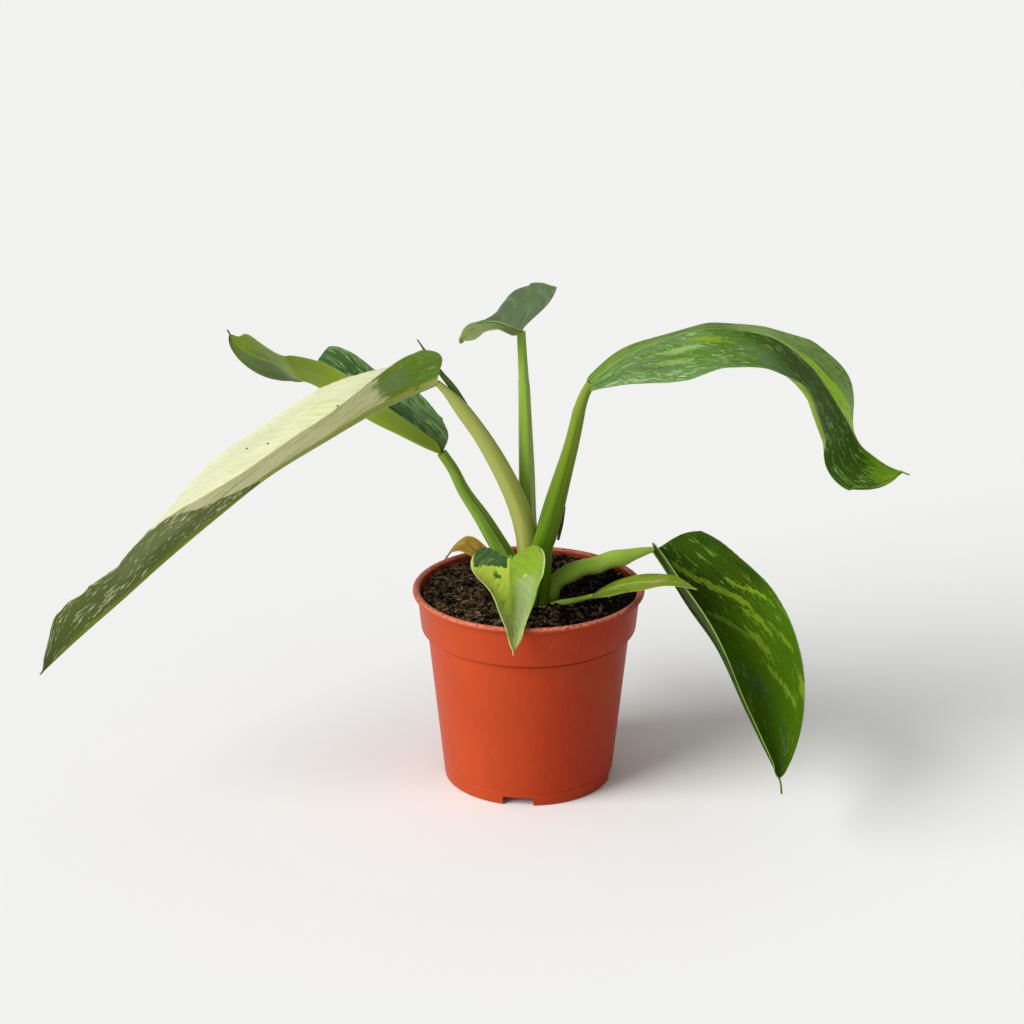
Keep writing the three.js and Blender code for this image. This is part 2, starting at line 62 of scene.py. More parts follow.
# How far along its length a blade's lobes reach, the half width below which its fold eases out, and
# the half width of its tip
LOBE_REACH = 0.4
FOLD_FROM = 6.0
TIP_HALF_WIDTH = 0.35

# Depth and half width of the groove over a blade's midrib, half width of the rib below, and how
# deep a stalk's groove is as a share of its half width
GROOVE_DEPTH = 0.35
GROOVE_HALF_WIDTH = 0.8
RIB_HALF_WIDTH = 1.3
STALK_GROOVE = 0.35

# Edges that turn by more than this stay sharp, on the plant and on the pot
SHARP_TURN = math.radians(50)
POT_SHARP_TURN = math.radians(30)

# The pot's four notches and drain holes: how far the first stands from the front, in radians, how
# deep a notch cuts and how round its corners are, and how far out the drain holes are
NOTCH_TURN = -0.127
NOTCH_DEPTH = 8
NOTCH_ROUNDING = 0.8
DRAIN_REACH = 35.5

# The peat's hump behind the crown, its radius and height at the wall from the rim down to the
# pot's base, how far out its crumbs and fibres lie, and where its pale grains are and how big
HUMP = (26, 22)
HUMP_SPREAD = 16
PEAT_WALL = ((54.4, 90), (50.7, 81.5), (42.6, 7.2), (26, 6.8), (26, 2.2))
CRUMB_REACH = 53.8
FIBRE_REACH = 47
GRAINS = ((-42, 6, 0.9), (45, -28, 0.8), (-9, -40, 0.5), (20, -30, 0.5), (8, -49, 0.6))

# Rows along and columns across the grid of a large blade, of a small one and of the withered one,
# and the half width from which a blade is large
LARGE_GRID = (210, 88)
SMALL_GRID = (120, 60)
WITHERED_GRID = (70, 24)
LARGE_FROM = 25

# The noise levels above which streaks and small marks show at no cover, how far a full cover lowers
# them, how soft the small marks' edges are, and three thin washes over every blade: dark clouds,
# pale grain and the shade in creases
STREAK_LEVEL = 0.62
FLECK_LEVEL = 0.71
COVER_SPAN = 0.2
MARK_EDGE = 0.03
CLOUD_WASH = (0.03, 0.05, 0.005)
GRAIN_WASH = (0.6, 0.65, 0.4)
CREASE_WASH = (0.1, 0.11, 0.05)

# In metres and degrees: how far the floor lies below the pot, where the lights aim, and each
# light's spread and place
FLOOR_DROP = 0.0002
LIGHT_AIM = (0, 0, 0.13)
KEY_LIGHT = (42, (-1.35, -0.75, 1.0))
FILL_LIGHT = (60, (0.7, -1.1, 0.9))

# What most blades share
USUAL_BLADE = {
    "drip": 0.02,
    "lobe_close": 1,
    "lobe_power": 1.4,
    "curl": ([0, 0, 0], [0, 0, 0]),
}

# Each leaf: the way it heads, its midrib from the stalk to the tip, and its stalk from the crown to
# the blade, with the stalk's widths from one end to the other. half_width is the blade's largest,
# widest the share of the length where it is, base_share how much of it is left at the base,
# tip_power the two powers that round the blade off to its tip, and drip the share of the length
# that is drawn out behind the tip. lobes are how far the base reaches back on each side; lobe_close
# and lobe_power shape the lobe across. wave is height, number of waves and phase, and rib how far
# the midrib stands out below. Lifts are how far each half stands above level, curls how far it then
# turns towards its margin, in degrees, at stations evenly spaced from base to tip. Pairs are left
# half and right half, seen by someone who looks along the heading.
LEAVES = {
    "arching": {
        **USUAL_BLADE,
        "heading": (1, -0.06),
        "midrib": [
            (31, -6, 218), (48, -5, 231), (66, -4, 239), (86, -4, 245), (101, -4, 245),
            (122, -5, 241), (139, -6, 229), (149, -6, 217), (160, -7, 200), (168, -9, 186),
            (175, -10, 180), (183, -12, 175), (193, -16, 172),
        ],
        "half_width": 39,
        "widest": 0.34,
        "base_share": (0.4, 0.28),
        "tip_power": (5, 0.7),
        "lobes": (2, 2),
        "lift": (
            [-3, -6.5, -10.5, -12, -7, 6, 13, -12, -20],
            [-14, -20, -24, -13, -8, -13, -25, -46, -40],
        ),
        "wave": (1.2, 3, 0.5),
        "rib": 2,
        "stalk": [
            (7, -5, 84), (6.5, -7, 99), (6.4, -8, 117), (6.4, -8, 130), (8.7, -8, 138),
            (13.9, -8, 158), (20.4, -7.5, 182), (23.4, -7, 195), (25.5, -7, 205), (28, -6.5, 212),
            (31, -6, 217.5),
        ],
        "stalk_widths": [8, 8.4, 10.6, 12.4, 12, 10, 8.2, 7, 5],
    },
    "long_cream": {
        **USUAL_BLADE,
        "heading": (-1, -0.18),
        "midrib": [
            (-46, -14, 221), (-76, -18, 208), (-103, -23, 193), (-131, -29, 176.5),
            (-156, -34, 157.3), (-183, -40, 135.2), (-206, -45, 115), (-228, -50, 96.2),
            (-247, -55, 79),
        ],
        "half_width": 25.5,
        "widest": 0.3,
        "base_share": (0.85, 0.5),
        "tip_power": (6, 1),
        "drip": 0,
        "lobes": (7, 3),
        "lift": ([70, 52, 39, 37, 44, 56, 54, 78, 60], [50, 50, 48, 46, 41, 28, 18, 15, 20]),
        "wave": (1, 4, 0.4),
        "rib": 1.8,
        "stalk": [
            (3, 1, 84), (2.4, 0.5, 104), (0.6, 0, 120), (-0.9, 0, 135), (-5.4, -1, 152),
            (-12.4, -3.5, 169), (-22.3, -7, 188), (-32, -10, 203), (-39.4, -12.5, 213),
            (-46, -14, 220),
        ],
        "stalk_widths": [12, 13, 12.6, 12.4, 12, 11, 9.6, 8.2, 3.4],
    },
    "heart": {
        **USUAL_BLADE,
        "heading": (0.04, -1),
        "midrib": [
            (-10, -22, 129), (-10, -34, 122), (-9, -46, 115), (-9, -58, 108), (-8, -66, 102),
            (-8, -70, 95.5),
        ],
        "half_width": 20,
        "widest": 0.12,
        "base_share": (0.92, 0.95),
        "tip_power": (1.6, 0.95),
        "drip": 0.03,
        "lobes": (5, 7),
        "lobe_power": 1.5,
        "lift": ([20, 15, 15], [0, 30, 50]),
        "curl": ([20, 30, 30], [0, 50, 50]),
        "wave": (0.5, 2, 0),
        "rib": 1.2,
        "stalk": [(4, -6, 84), (2, -11, 103), (-4, -16, 118), (-9, -21, 128), (-10, -22, 129)],
        "stalk_widths": [5.6, 5, 3.8],
    },
    "narrow": {
        **USUAL_BLADE,
        "heading": (0.7, -0.72),
        "midrib": [
            (33.5, -18, 107), (41.4, -26, 114), (51, -37, 121), (60.4, -48, 126), (70.6, -60, 131),
            (82.1, -73, 132),
        ],
        "half_width": 8,
        "widest": 0.45,
        "base_share": (0.3, 0.3),
        "tip_power": (2.4, 1),
        "lobes": (0.5, 0.5),
        "lift": ([25, 20, 0], [-35, -20, 0]),
        "wave": (0.3, 2, 0),
        "rib": 0.8,
        "stalk": [(11, -4, 84), (12, -7, 95), (13.8, -9.2, 98.8), (24, -13, 102.5), (33.5, -18, 107)],
        "stalk_widths": [5, 4, 2.6],
    },
    "low_right": {
        **USUAL_BLADE,
        "heading": (0.49, -0.87),
        "midrib": [
            (66, 4, 124), (72, -9, 118), (83, -30, 105), (96, -52, 91), (108, -80, 70),
            (115, -98, 59), (121, -114, 50), (122, -120, 44),
        ],
        "half_width": 40,
        "widest": 0.33,
        "base_share": (0.66, 0.15),
        "tip_power": (2.3, 0.8),
        "drip": 0.05,
        "lobes": (3, 1),
        "lift": ([18, 24, 25, 25, 20], [60, 57, 59, 60, 61]),
        "wave": (1, 3, 1),
        "rib": 1.8,
        "stalk": [
            (12, 1, 84), (11, 0, 99), (12.5, -1, 106), (19.6, -1, 112), (28, 0, 115.5),
            (38.4, 1, 118.3), (45.7, 1.5, 120.5), (53, 2.5, 121.8), (61.3, 3.5, 123.7),
            (66, 4, 124.2),
        ],
        "stalk_widths": [8, 9, 10, 9.4, 10.2, 9.8, 10.2, 6.6, 2.8],
    },
    "top": {
        **USUAL_BLADE,
        "heading": (-0.93, 0.37),
        "midrib": [
            (-4, 10, 240.3), (-8, 12, 241.3), (-12, 14, 242.3), (-16.3, 16, 243.3), (-22, 18, 243.2),
            (-27, 19.8, 242.3), (-31.6, 21.2, 240.4), (-34.4, 21.8, 236.4), (-34.8, 22, 230.6),
        ],
        "half_width": 27.5,
        "widest": 0.1,
        "base_share": (0.95, 1),
        "tip_power": (1.6, 0.6),
        "drip": 0,
        "lobes": (6, 8),
        "lobe_close": 0.6,
        "lobe_power": 1.3,
        "lift": (
            [13, 13, 5, -4, -11, -16, -17, -16, -15],
            [57, 56, 44, 20, 0, -10, -11, -11, -11],
        ),
        "wave": (0.5, 2, 0),
        "rib": 1,
        "stalk": [
            (6, 5, 84), (4, 5, 107), (1, 6, 128), (-0.3, 6, 141), (-0.9, 7, 166), (-1.7, 8, 190),
            (-2.4, 9, 210), (-3.5, 10, 230), (-4, 10, 240),
        ],
        "stalk_widths": [9.2, 9, 8.6, 8, 6.8, 5.5, 4.5],
    },
    "back_left": {
        **USUAL_BLADE,
        "heading": (-0.88, 0.47),
        "midrib": [
            (-45, 12, 174.5), (-54, 17, 176.7), (-67, 24, 181), (-85, 34, 187), (-111, 50, 199),
            (-123, 56, 202), (-135, 63, 208), (-148, 69, 211), (-156, 73, 215.5), (-161, 75, 223),
        ],
        "half_width": 27,
        "widest": 0.4,
        "base_share": (0.15, 0.65),
        "tip_power": (4, 0.75),
        "lobes": (0, -9),
        "lobe_close": 0.5,
        "lobe_power": 4,
        "lift": (
            [60, 56, 55, 57, 57, 46, 41, 58, 66],
            [50, 50, 50, 47, 44, 39, 34, 32, 34, 35, 25, -24, -40, -48, -54, -60, -66],
        ),
        "wave": (0.8, 3, 1.2),
        "rib": 1,
        "stalk": [
            (0, 4, 84), (-5, 6, 106), (-12.8, 6, 121), (-17, 7, 128), (-24.6, 8, 141),
            (-33.4, 10, 154), (-39, 12, 165), (-45, 12, 174.5),
        ],
        "stalk_widths": [9, 10, 9.4, 6.8, 5.4],
    },
}

# The withered leaf over the rim at the back left
WITHERED = {
    **USUAL_BLADE,
    "heading": (-0.7, 0.7),
    "midrib": [
        (-13, 12.5, 96), (-17, 17, 105), (-24.5, 25.5, 112.5), (-32, 34, 115.5), (-38, 41.5, 111.5),
        (-43, 46.5, 105), (-46, 49.5, 98),
    ],
    "half_width": 5.5,
    "widest": 0.62,
    "base_share": (0.4, 0.4),
    "tip_power": (2, 0.8),
    "lobes": (0, 0),
    "lift": ([0, -25, -10], [10, 30, 40]),
    "curl": ([0, 0, 20], [0, 20, 30]),
    "wave": (0.6, 3, 0),
    "rib": 0.5,
}

# The newest leaf, still rolled, and the dried strip on the arching leaf's stalk
SPEAR = [(-33, -9, 207), (-38, -10, 216), (-44, -11, 224), (-50, -12, 233), (-56, -12, 242)]
SPEAR_WIDTHS = [5, 3.6, 2.2, 0.7]
DRIED_SHEATH = [(15, -8, 134), (16.6, -8, 142), (18.5, -8, 152)]
DRIED_WIDTHS = [1.6, 2, 0.8]

# What most blades' looks share
USUAL_LOOK = {
    # How far the lateral veins run towards the tip on their way out, above and below
    "vein_skew": 0.3,
    "under_skew": 0.3,
    # Colours of the left and the right half below, and of the streaks there with their share
    "under": ("pale_under", "pale_under"),
    "under_fleck": (("lime", 0.2), ("lime", 0.2)),
    # How strongly the blade shines, how soft the edges of its broad streaks are, and how fine its
    # small marks are across the veins and along them
    "gloss": 0.2,
    "blend": 0.035,
    "fleck_scale": (470, 180),
    # Colour of the upper lateral veins and how strong it is, and colour of the margin and the share
    # across where it starts
    "vein_tint": ("pale_green", 0.12),
    "margin": ("pale_green", 0.978),
    # How deep the fine creases are, how ragged the outline is, how strong the midrib's colour is
    # and how deep its groove is, as a share of the usual depth
    "creases": 0.4,
    "ragged": 0.012,
    "rib_share": 0.7,
    "groove": 1,
    # Rolled margins (side, from, to along the midrib, share across where it starts, its radius in
    # mm), and nicks (side, place along, length, depth) in shares of the blade's length and width
    "rolls": [],
    "nicks": [],
}

# Each blade's own look. A pair is the left and the right half: ground is the upper colour, mottle
# the colour of its broad streaks and how much of it they cover, fleck the same for its small marks.
# Patches are (side, face, slant, from, to along the midrib, from, to across, colour, raggedness,
# softness), where side is -1 left, 1 right, 0 both, face 0 upper, 1 under, 2 both, and slant is how
# far towards the tip a patch's ends move on the way out.
BLADE_LOOKS = {
    "arching": {
        **USUAL_LOOK,
        "gloss": 0.1,
        "fleck_scale": (640, 330),
        "ground": ("fresh", "mid"),
        # The right half's broad streaks are partly painted grey sheen
        "mottle": (("mid", 0.6), ("green_streak_and_sheen", 0.75)),
        "fleck": (("lime_bright", 0.55), ("pale_green", 0.5)),
        "under_fleck": (("lime", 0.3), ("lime", 0.3)),
        "patches": [
            (1, 0, 0.3, 0.3, 0.42, 0.0, 1.4, "mid", 0.16, 0.004),
            (1, 0, 0.3, 0.36, 1.4, 0.0, 1.4, "dark", 0.16, 0.004),
            (1, 0, 0.3, 0.1, 0.2, 0.28, 0.4, "pale_green", 0.1, 0.01),
            (1, 0, 0.3, 0.22, 0.27, 0.16, 0.36, "lime", 0.12, 0.006),
            (1, 0, 0.3, 0.02, 0.09, 0.5, 0.62, "pale_green", 0.12, 0.008),
            (1, 0, 0.1, 0.87, 1.4, -0.4, 1.4, "tip_green", 0.16, 0.006),
            # Painted light: the far half faces away from the key light, so its real mid green and lime
            # sector are painted lighter than they are
            (-1, 0, 0.0, 0.4, 1.4, -0.4, 1.4, "crest_painted_lit", 0.16, 0.03),
            (-1, 0, 0.8, 0.42, 1.4, -0.4, 1.4, "spring_painted_lit", 0.05, 0.006),
            # Painted sheen: a pale streak along the near margin, flecked with pale sheen
            (1, 0, 0.0, 0.03, 0.24, 0.76, 0.95, "sheen", 0.2, 0.02),
            (0, 0, 0.0, 0.556, 0.57, -0.4, 0.05, "blush", 0.02, 0.004),
        ],
        "rolls": [(1, 0.5, 0.86, 0.89, 1.5)],
        "nicks": [(1, 0.8, 0.08, 0.13)],
    },
    "long_cream": {
        **USUAL_LOOK,
        "vein_skew": 0.18,
        "under_skew": -0.3,
        "gloss": 0.45,
        "creases": 2.0,
        "vein_tint": ("cream_vein", 0.4),
        "blend": 0.14,
        "ragged": 0.03,
        "fleck_scale": (400, 320),
        "margin": ("cream_under", 0.978),
        "ground": ("cream_green", "cream"),
        "mottle": (("fresh", 0.3), ("cream_green", 0.22)),
        "fleck": (("cream", 0.3), ("cream_green", 0.1)),
        "under": ("cream_under", "cream_under"),
        "under_fleck": (("cream_vein", 0.5), ("cream_vein", 0.3)),
        "patches": [
            (-1, 2, 0.0, -0.6, 0.112, -0.4, 1.4, "fresh", 0.05, 0.0015),
            (-1, 2, 0.0, 0.065, 0.125, 0.3, 0.85, "moss", 0.05, 0.0015),
            (-1, 1, 0.0, -0.02, 0.5, -0.4, 0.12, "keel", 0.01, 0.008),
            # A painted glint: small pale highlight specks near the base of the left half
            (-1, 1, 0.0, 0.016, 0.025, 0.41, 0.47, "pale_sheen", 0.02, 0.004),
            (1, 0, 0.0, 0.198, 0.203, 0.46, 0.5, "olive", 0.004, 0.001),
            (1, 0, 0.0, 0.354, 0.358, 0.56, 0.6, "olive", 0.004, 0.001),
            (1, 0, 0.0, 0.392, 0.397, 0.73, 0.77, "olive", 0.004, 0.001),
            (-1, 2, 0.185, 0.4, 1.4, -0.4, 1.4, "olive", 0.03, 0.003),
            (1, 2, 0.05, 0.6, 1.4, -0.4, 1.4, "olive", 0.03, 0.003),
            (-1, 1, 0.0, 0.56, 0.74, 0.45, 1.4, "grey_olive", 0.1, 0.02),
            (-1, 1, 0.0, 0.45, 1.4, -0.4, 0.1, "lime_under", 0.01, 0.004),
        ],
        "nicks": [(-1, 0.82, 0.02, 0.1), (-1, 0.72, 0.015, 0.05), (-1, 0.9, 0.03, -0.12)],
    },
    "heart": {
        **USUAL_LOOK,
        "gloss": 0.5,
        "rib_share": 0.1,
        "groove": 0.15,
        "margin": ("cream", 0.93),
        # Painted light: the right half's lime is painted lighter to stand in for the light it misses,
        # facing away from the key
        "ground": ("lime", "lime_painted_lit"),
        "blend": 0.12,
        "mottle": (("fresh", 0.55), ("lime_bright", 0.4)),
        "fleck": (("lime", 0.1), ("lime", 0.1)),
        "patches": [
            (1, 2, 0.06, -0.4, 0.115, 0.06, 0.93, "dark_grey", 0.06, 0.004),
            (1, 0, -0.1, 0.237, 0.277, 0.23, 0.42, "dark_grey", 0.03, 0.009),
            (0, 0, 0.0, 0.62, 1.4, -0.4, 0.9, "lime_pale", 0.06, 0.12),
            # Painted sheen: a pale lit band on the left half
            (-1, 0, 0.0, 0.26, 0.8, 0.2, 0.72, "lime_sheen", 0.06, 0.05),
            # A painted highlight: a small cream glint on the left half
            (-1, 0, 0.0, 0.215, 0.24, 0.38, 0.47, "cream", 0.14, 0.016),
        ],
        "rolls": [(-1, 0.25, 0.9, 0.84, 1.1)],
    },
    "narrow": {
        **USUAL_LOOK,
        "ground": ("lime_under", "lime_under"),
        "mottle": (("lime_dusk", 0.5), ("lime_dusk", 0.3)),
        "fleck": (("pale_green", 0.15), ("pale_green", 0.1)),
        "patches": [(0, 0, 0.0, 0.6, 0.68, 0.0, 0.35, "blush", 0.04, 0.02)],
    },
    "low_right": {
        **USUAL_LOOK,
        "vein_skew": 0.5,
        "under_skew": 0.5,
        "gloss": 0.02,
        "fleck_scale": (380, 260),
        "ground": ("pine", "pine"),
        "mottle": (("deep", 0.4), ("deep", 0.3)),
        "fleck": (("fresh", 0.36), ("lime", 0.3)),
        "under": ("pale_under", "pine_under"),
        "under_fleck": (("mid", 0.3), ("pine", 0.3)),
        "patches": [
            # Painted light: the left half is painted lighter from a third of the way along, to make up
            # for the shade that falls there
            (-1, 0, 0.0, 0.36, 1.4, -0.4, 1.4, "pine_painted_lit", 0.3, 0.12),
            # Painted sheen: two greyish blotches where light glances off the leaf, flecked with sheen
            (-1, 0, 0.3, 0.48, 0.58, 0.12, 0.4, "dull_sheen", 0.12, 0.04),
            (-1, 0, 0.3, 0.6, 0.78, 0.5, 0.62, "dull_sheen", 0.1, 0.02),
            (-1, 0, 0.5, 0.015, 0.06, 0.1, 0.64, "lime", 0.08, 0.004),
            (-1, 0, 0.5, 0.08, 0.12, 0.52, 0.7, "lime", 0.1, 0.004),
            (-1, 0, 0.5, 0.225, 0.255, 0.14, 0.42, "fresh", 0.06, 0.004),
            (-1, 0, 0.5, 0.2, 0.25, 0.44, 0.6, "lime", 0.1, 0.004),
            (-1, 0, 0.5, -0.08, -0.05, 0.6, 0.88, "lime", 0.1, 0.004),
            (-1, 0, 0.5, 0.07, 0.1, 0.8, 0.9, "lime", 0.06, 0.004),
            (-1, 0, 0.5, 0.16, 0.24, 0.9, 1.4, "lime", 0.1, 0.004),
            (-1, 0, 0.5, 0.3, 0.33, 0.5, 0.84, "lime", 0.06, 0.004),
            (1, 1, 0.0, -0.4, 1.4, 0.86, 1.4, "lime", 0.03, 0.004),
        ],
    },
    "top": {
        **USUAL_LOOK,
        "vein_skew": 0.25,
        "under_skew": 0.25,
        "blend": 0.2,
        "ground": ("grey_olive", "slate_green"),
        "mottle": (("slate_green", 0.3), ("green_streak_and_sheen", 0.3)),
        "fleck": (("pale_green", 0.1), ("green_streak_and_sheen", 0.2)),
        "patches": [
            (-1, 0, 0.0, -0.4, 0.6, 0.0, 0.14, "mid", 0.03, 0.004),
            (-1, 0, 0.0, -0.4, 0.2, 0.86, 1.4, "lime", 0.03, 0.004),
        ],
    },
    "back_left": {
        **USUAL_LOOK,
        "vein_skew": 0.35,
        "under_skew": 0.35,
        "ground": ("lime", "dark_grey"),
        "mottle": (("fresh", 0.3), ("green_streak_and_sheen", 0.72)),
        "fleck": (("pale_green", 0.1), ("pale_green", 0.5)),
        "under": ("lime_under", "grey_under"),
        "under_fleck": (("fresh", 0.2), ("olive", 0.3)),
        "patches": [
            (1, 0, 0.0, -0.4, 0.13, 0.74, 1.4, "green_streak_and_sheen", 0.08, 0.01),
            (1, 1, 0.0, 0.6, 0.74, 0.5, 0.8, "green_streak_and_sheen", 0.1, 0.02),
            (-1, 1, 0.0, 0.7, 1.4, -0.4, 1.4, "lime_dusk", 0.1, 0.06),
        ],
    },
}

# The small marks on each patch's colour, and the noise level above which they show
PATCH_MARKS = {
    "dark": ("pale_green", 0.61), "mid": ("fresh", 0.63), "lime": ("fresh", 0.63),
    "lime_under": ("fresh", 0.63), "pale_green": ("fresh", 0.63), "spring_painted_lit": ("fresh", 0.63),
    "olive": ("cream_under", 0.615), "keel": ("lime_under", 0.66),
    "dark_grey": ("grey_green", 0.58), "grey_olive": ("cream_under", 0.61), "sheen": ("pale_sheen", 0.54),
    "moss": ("cream_under", 0.66), "crest_painted_lit": ("mid", 0.57), "dull_sheen": ("sheen", 0.56),
    "tip_green": ("lime", 0.52), "green_streak_and_sheen": ("pale_green", 0.6), "pine_painted_lit": ("fresh", 0.62),
    "blush": ("lime", 0.63), "fresh": ("lime_bright", 0.6), "pale_sheen": ("lime_bright", 0.66),
    "cream": ("pale_sheen", 0.63), "lime_pale": ("lime_bright", 0.6), "lime_sheen": ("lime_bright", 0.66),
    "lime_dusk": ("lime_under", 0.6),
}

# Each stalk's main colour, the colour of its darker broad patches and stripes, of its groove's edges
# and of its upper end
STALK_LOOKS = {
    "arching": ("stalk_green", "stalk_dark", "fresh", "stalk_upper"),
    "long_cream": ("stalk_olive", "stalk_olive_dark", "stalk_pale", "stalk_olive"),
    "heart": ("stalk_green", "stalk_dark", "lime", "stalk_green"),
    "narrow": ("stalk_bright", "stalk_lime", "lime", "stalk_bright"),
    "low_right": ("stalk_bright", "stalk_lime", "blush", "stalk_bright"),
    "top": ("stalk_bright", "stalk_lime", "stalk_pale", "stalk_lime"),
    "back_left": ("stalk_lime", "stalk_green", "stalk_pale", "stalk_lime"),
}

# How deep the waves are along a stalk's lower side, as a share of its half width
STALK_RIPPLES = {"low_right": 0.12}

# The sheaths that wrap two stalks: the share of the stalk's length that they reach, the way that
# they face and how far they wrap, both as shares of half a turn, and how much they widen the stalk
SHEATHS = {"arching": (0.9, 0.1, 0.46, 0.1), "top": (0.86, -0.38, 1.0, 0.1)}


def shade(code):
    """A hexadecimal colour as scene-linear red, green and blue."""
    parts = [int(code[i : i + 2], 16) / 255 for i in (0, 2, 4)]
    return tuple(p / 12.92 if p <= 0.04045 else ((p + 0.055) / 1.055) ** 2.4 for p in parts)


def colour_property(name, description, code):
    return FloatVectorProperty(
        name=name, description=description, subtype="COLOR", size=3, default=shade(code), min=0, max=1
    )


def length_property(name, description, millimetres):
    return FloatProperty(
        name=name,
        description=description,
        default=millimetres * MM,
        min=0,
        subtype="DISTANCE",
        unit="LENGTH",
        precision=5,
    )


class PlantPotSettings(bpy.types.PropertyGroup):
    height: length_property("Height", "Height of the pot", 105.5)
    lip_radius: length_property("Lip radius", "Outer radius of the rolled lip", 60.6)
    lip_height: length_property("Lip height", "Height of the rolled lip", 3.2)
    collar_top: length_property("Collar top radius", "Outer radius under the lip", 58.2)
    collar_foot: length_property("Collar foot radius", "Outer radius at the collar's foot", 56.3)
    collar_height: length_property("Collar foot height", "Height of the collar's foot", 84.5)
    body_top: length_property("Body top radius", "Outer radius under the collar", 52.6)
    body_height: length_property("Body height", "Height of the body under the collar", 81.5)
    base_radius: length_property("Base radius", "Outer radius of the base", 44.5)
    hub_radius: length_property("Hub radius", "Radius of the base inside the raised channel", 28)
    foot_height: length_property("Foot height", "Height of the raised channel", 4.6)
    wall: length_property("Wall", "Thickness of the wall", 1.4)
    notch_width: length_property("Notch width", "Width of each notch in the foot", 16)
    drain_radius: length_property("Drain radius", "Radius of each drain hole", 3.5)
    ring_height: length_property("Ring height", "Height of the fine line round the foot", 7)
    # Painted light: the first colour is the pot's lit left side, the second its shaded right side
    plastic: colour_property("Plastic", "Colour of the pot, on its faded side", "b4441e")
    plastic_painted_shade: colour_property("Deep plastic", "Colour of the pot, on its fresher side", "a42c0e")
    scuff_and_highlight: colour_property("Scuff", "Colour of the worn lip", "dc947a")
    # Pale wear on the lip, also used for the painted highlight on its top
    dust: colour_property("Dust", "Colour of dried peat on the plastic", "4e3222")


class PlantPeatSettings(bpy.types.PropertyGroup):
    level: length_property("Level", "Height of the peat in the middle", 99.2)
    radius: length_property("Radius", "Radius of the peat's surface", 55.35)
    crumb: length_property("Crumb size", "Radius of a usual crumb", 1.3)
    crumbs: IntProperty(name="Crumbs", description="Loose crumbs on the peat", default=1000, min=0)
    fibres: IntProperty(name="Fibres", description="Fibres on the peat", default=260, min=0)
    dark: colour_property("Peat", "Colour of the peat", "0a0806")
    # Drier peat, also used for the painted highlights on ridge tops and the lit left side
    brown: colour_property("Brown peat", "Colour of its drier parts", "8e7252")
    fibre: colour_property("Fibre", "Colour of its fibres", "7d6344")
    grain: colour_property("Grain", "Colour of its pale grains", "d8d2c4")


class PlantLeafSettings(bpy.types.PropertyGroup):
    sheet: length_property("Sheet", "Thickness of a blade", 0.55)
    vein_depth: length_property("Vein depth", "Depth of the lateral veins", 0.22)
    vein_spacing: length_property("Vein spacing", "Distance between lateral veins", 6.5)
    dark: colour_property("Dark green", "Darkest leaf green", "3c5d0a")
    deep: colour_property("Deep green", "Streaks in the darkest leaf", "2a4606")
    mid: colour_property("Mid green", "Usual leaf green", "4f7726")
    # Painted light: the arching leaf's real lime sector, painted lighter because it faces away from the
    # key light
    spring_painted_lit: colour_property("Spring green", "The bright sector of the arching leaf", "aedc2c")
    # Green with a painted sheen
    sheen: colour_property("Bloom", "Green with a pale bloom", "5f8440")
    # Green streaks that partly stand in for a painted dull sheen
    green_streak_and_sheen: colour_property("Soft green", "Green with a dull bloom", "5c7a46")
    # Pale painted sheen, used for glints and highlights on the leaves
    pale_sheen: colour_property("Mist", "Pale bloom", "a3b48a")
    fresh: colour_property("Fresh green", "Bright leaf green", "6a8c2a")
    lime: colour_property("Lime", "Lime variegation", "7f9c22")
    lime_bright: colour_property("Bright lime", "Youngest leaf", "86a230")
    pale_green: colour_property("Pale green", "Flecks in the green", "86a65e")
    cream: colour_property("Cream", "Cream variegation", "d4d6b2")
    cream_green: colour_property("Greenish cream", "Tint in the cream", "cdd498")
    cream_under: colour_property("Cream underside", "Cream seen from below", "d6d8a2")
    olive: colour_property("Olive", "Green seen from below", "5b6c28")
    dark_grey: colour_property("Grey dark green", "Dark green with a grey cast", "3d5f2f")
    grey_green: colour_property("Grey green", "Green with a grey cast", "667d52")
    grey_olive: colour_property("Grey olive", "Olive with a grey cast", "76854a")
    pale_under: colour_property("Pale underside", "Usual underside", "84a042")
    lime_under: colour_property("Lime underside", "Lime underside", "728704")
    grey_under: colour_property("Grey underside", "Dark underside", "4a6226")
    cream_vein: colour_property("Cream vein", "Lateral veins in the cream", "b9c074")
    moss: colour_property("Moss", "The dull green edge beside the cream", "74904a")
    # Painted light: the arching leaf's far half, painted lighter because it faces away from the key
    # light
    crest_painted_lit: colour_property("Crest", "The arching leaf's far half", "8cb450")
    tip_green: colour_property("Tip green", "The arching leaf's tip", "5c8a12")
    # Painted light: lime brightened for the heart-shaped leaf's shaded half
    lime_painted_lit: colour_property("Soft lime", "The heart-shaped leaf's shaded half", "c0d648")
    # Painted dull sheen on the low right leaf
    dull_sheen: colour_property("Haze", "Dull blotches on the low right leaf", "46682c")
    lime_sheen: colour_property("Lime sheen", "The heart-shaped leaf's lit band", "90a468")
    blush: colour_property("Blush", "Pinkish tint", "a47a4e")
    pine: colour_property("Pine green", "The low right leaf near its base", "375204")
    # Painted light: the low right leaf's green, lightened where shade falls on it
    pine_painted_lit: colour_property("Light pine green", "The same leaf near its tip", "4b7106")
    pine_under: colour_property("Dark underside", "The same leaf's folded half", "1c3404")
    slate_green: colour_property("Slate green", "The top leaf", "4f6141")
    lime_dusk: colour_property("Dusky lime", "The back left leaf's tip", "5a6e00")
    lime_pale: colour_property("Pale lime", "The heart-shaped leaf's tip", "a4b45e")
    keel: colour_property("Keel", "The midrib below the long leaf", "9fa44a")


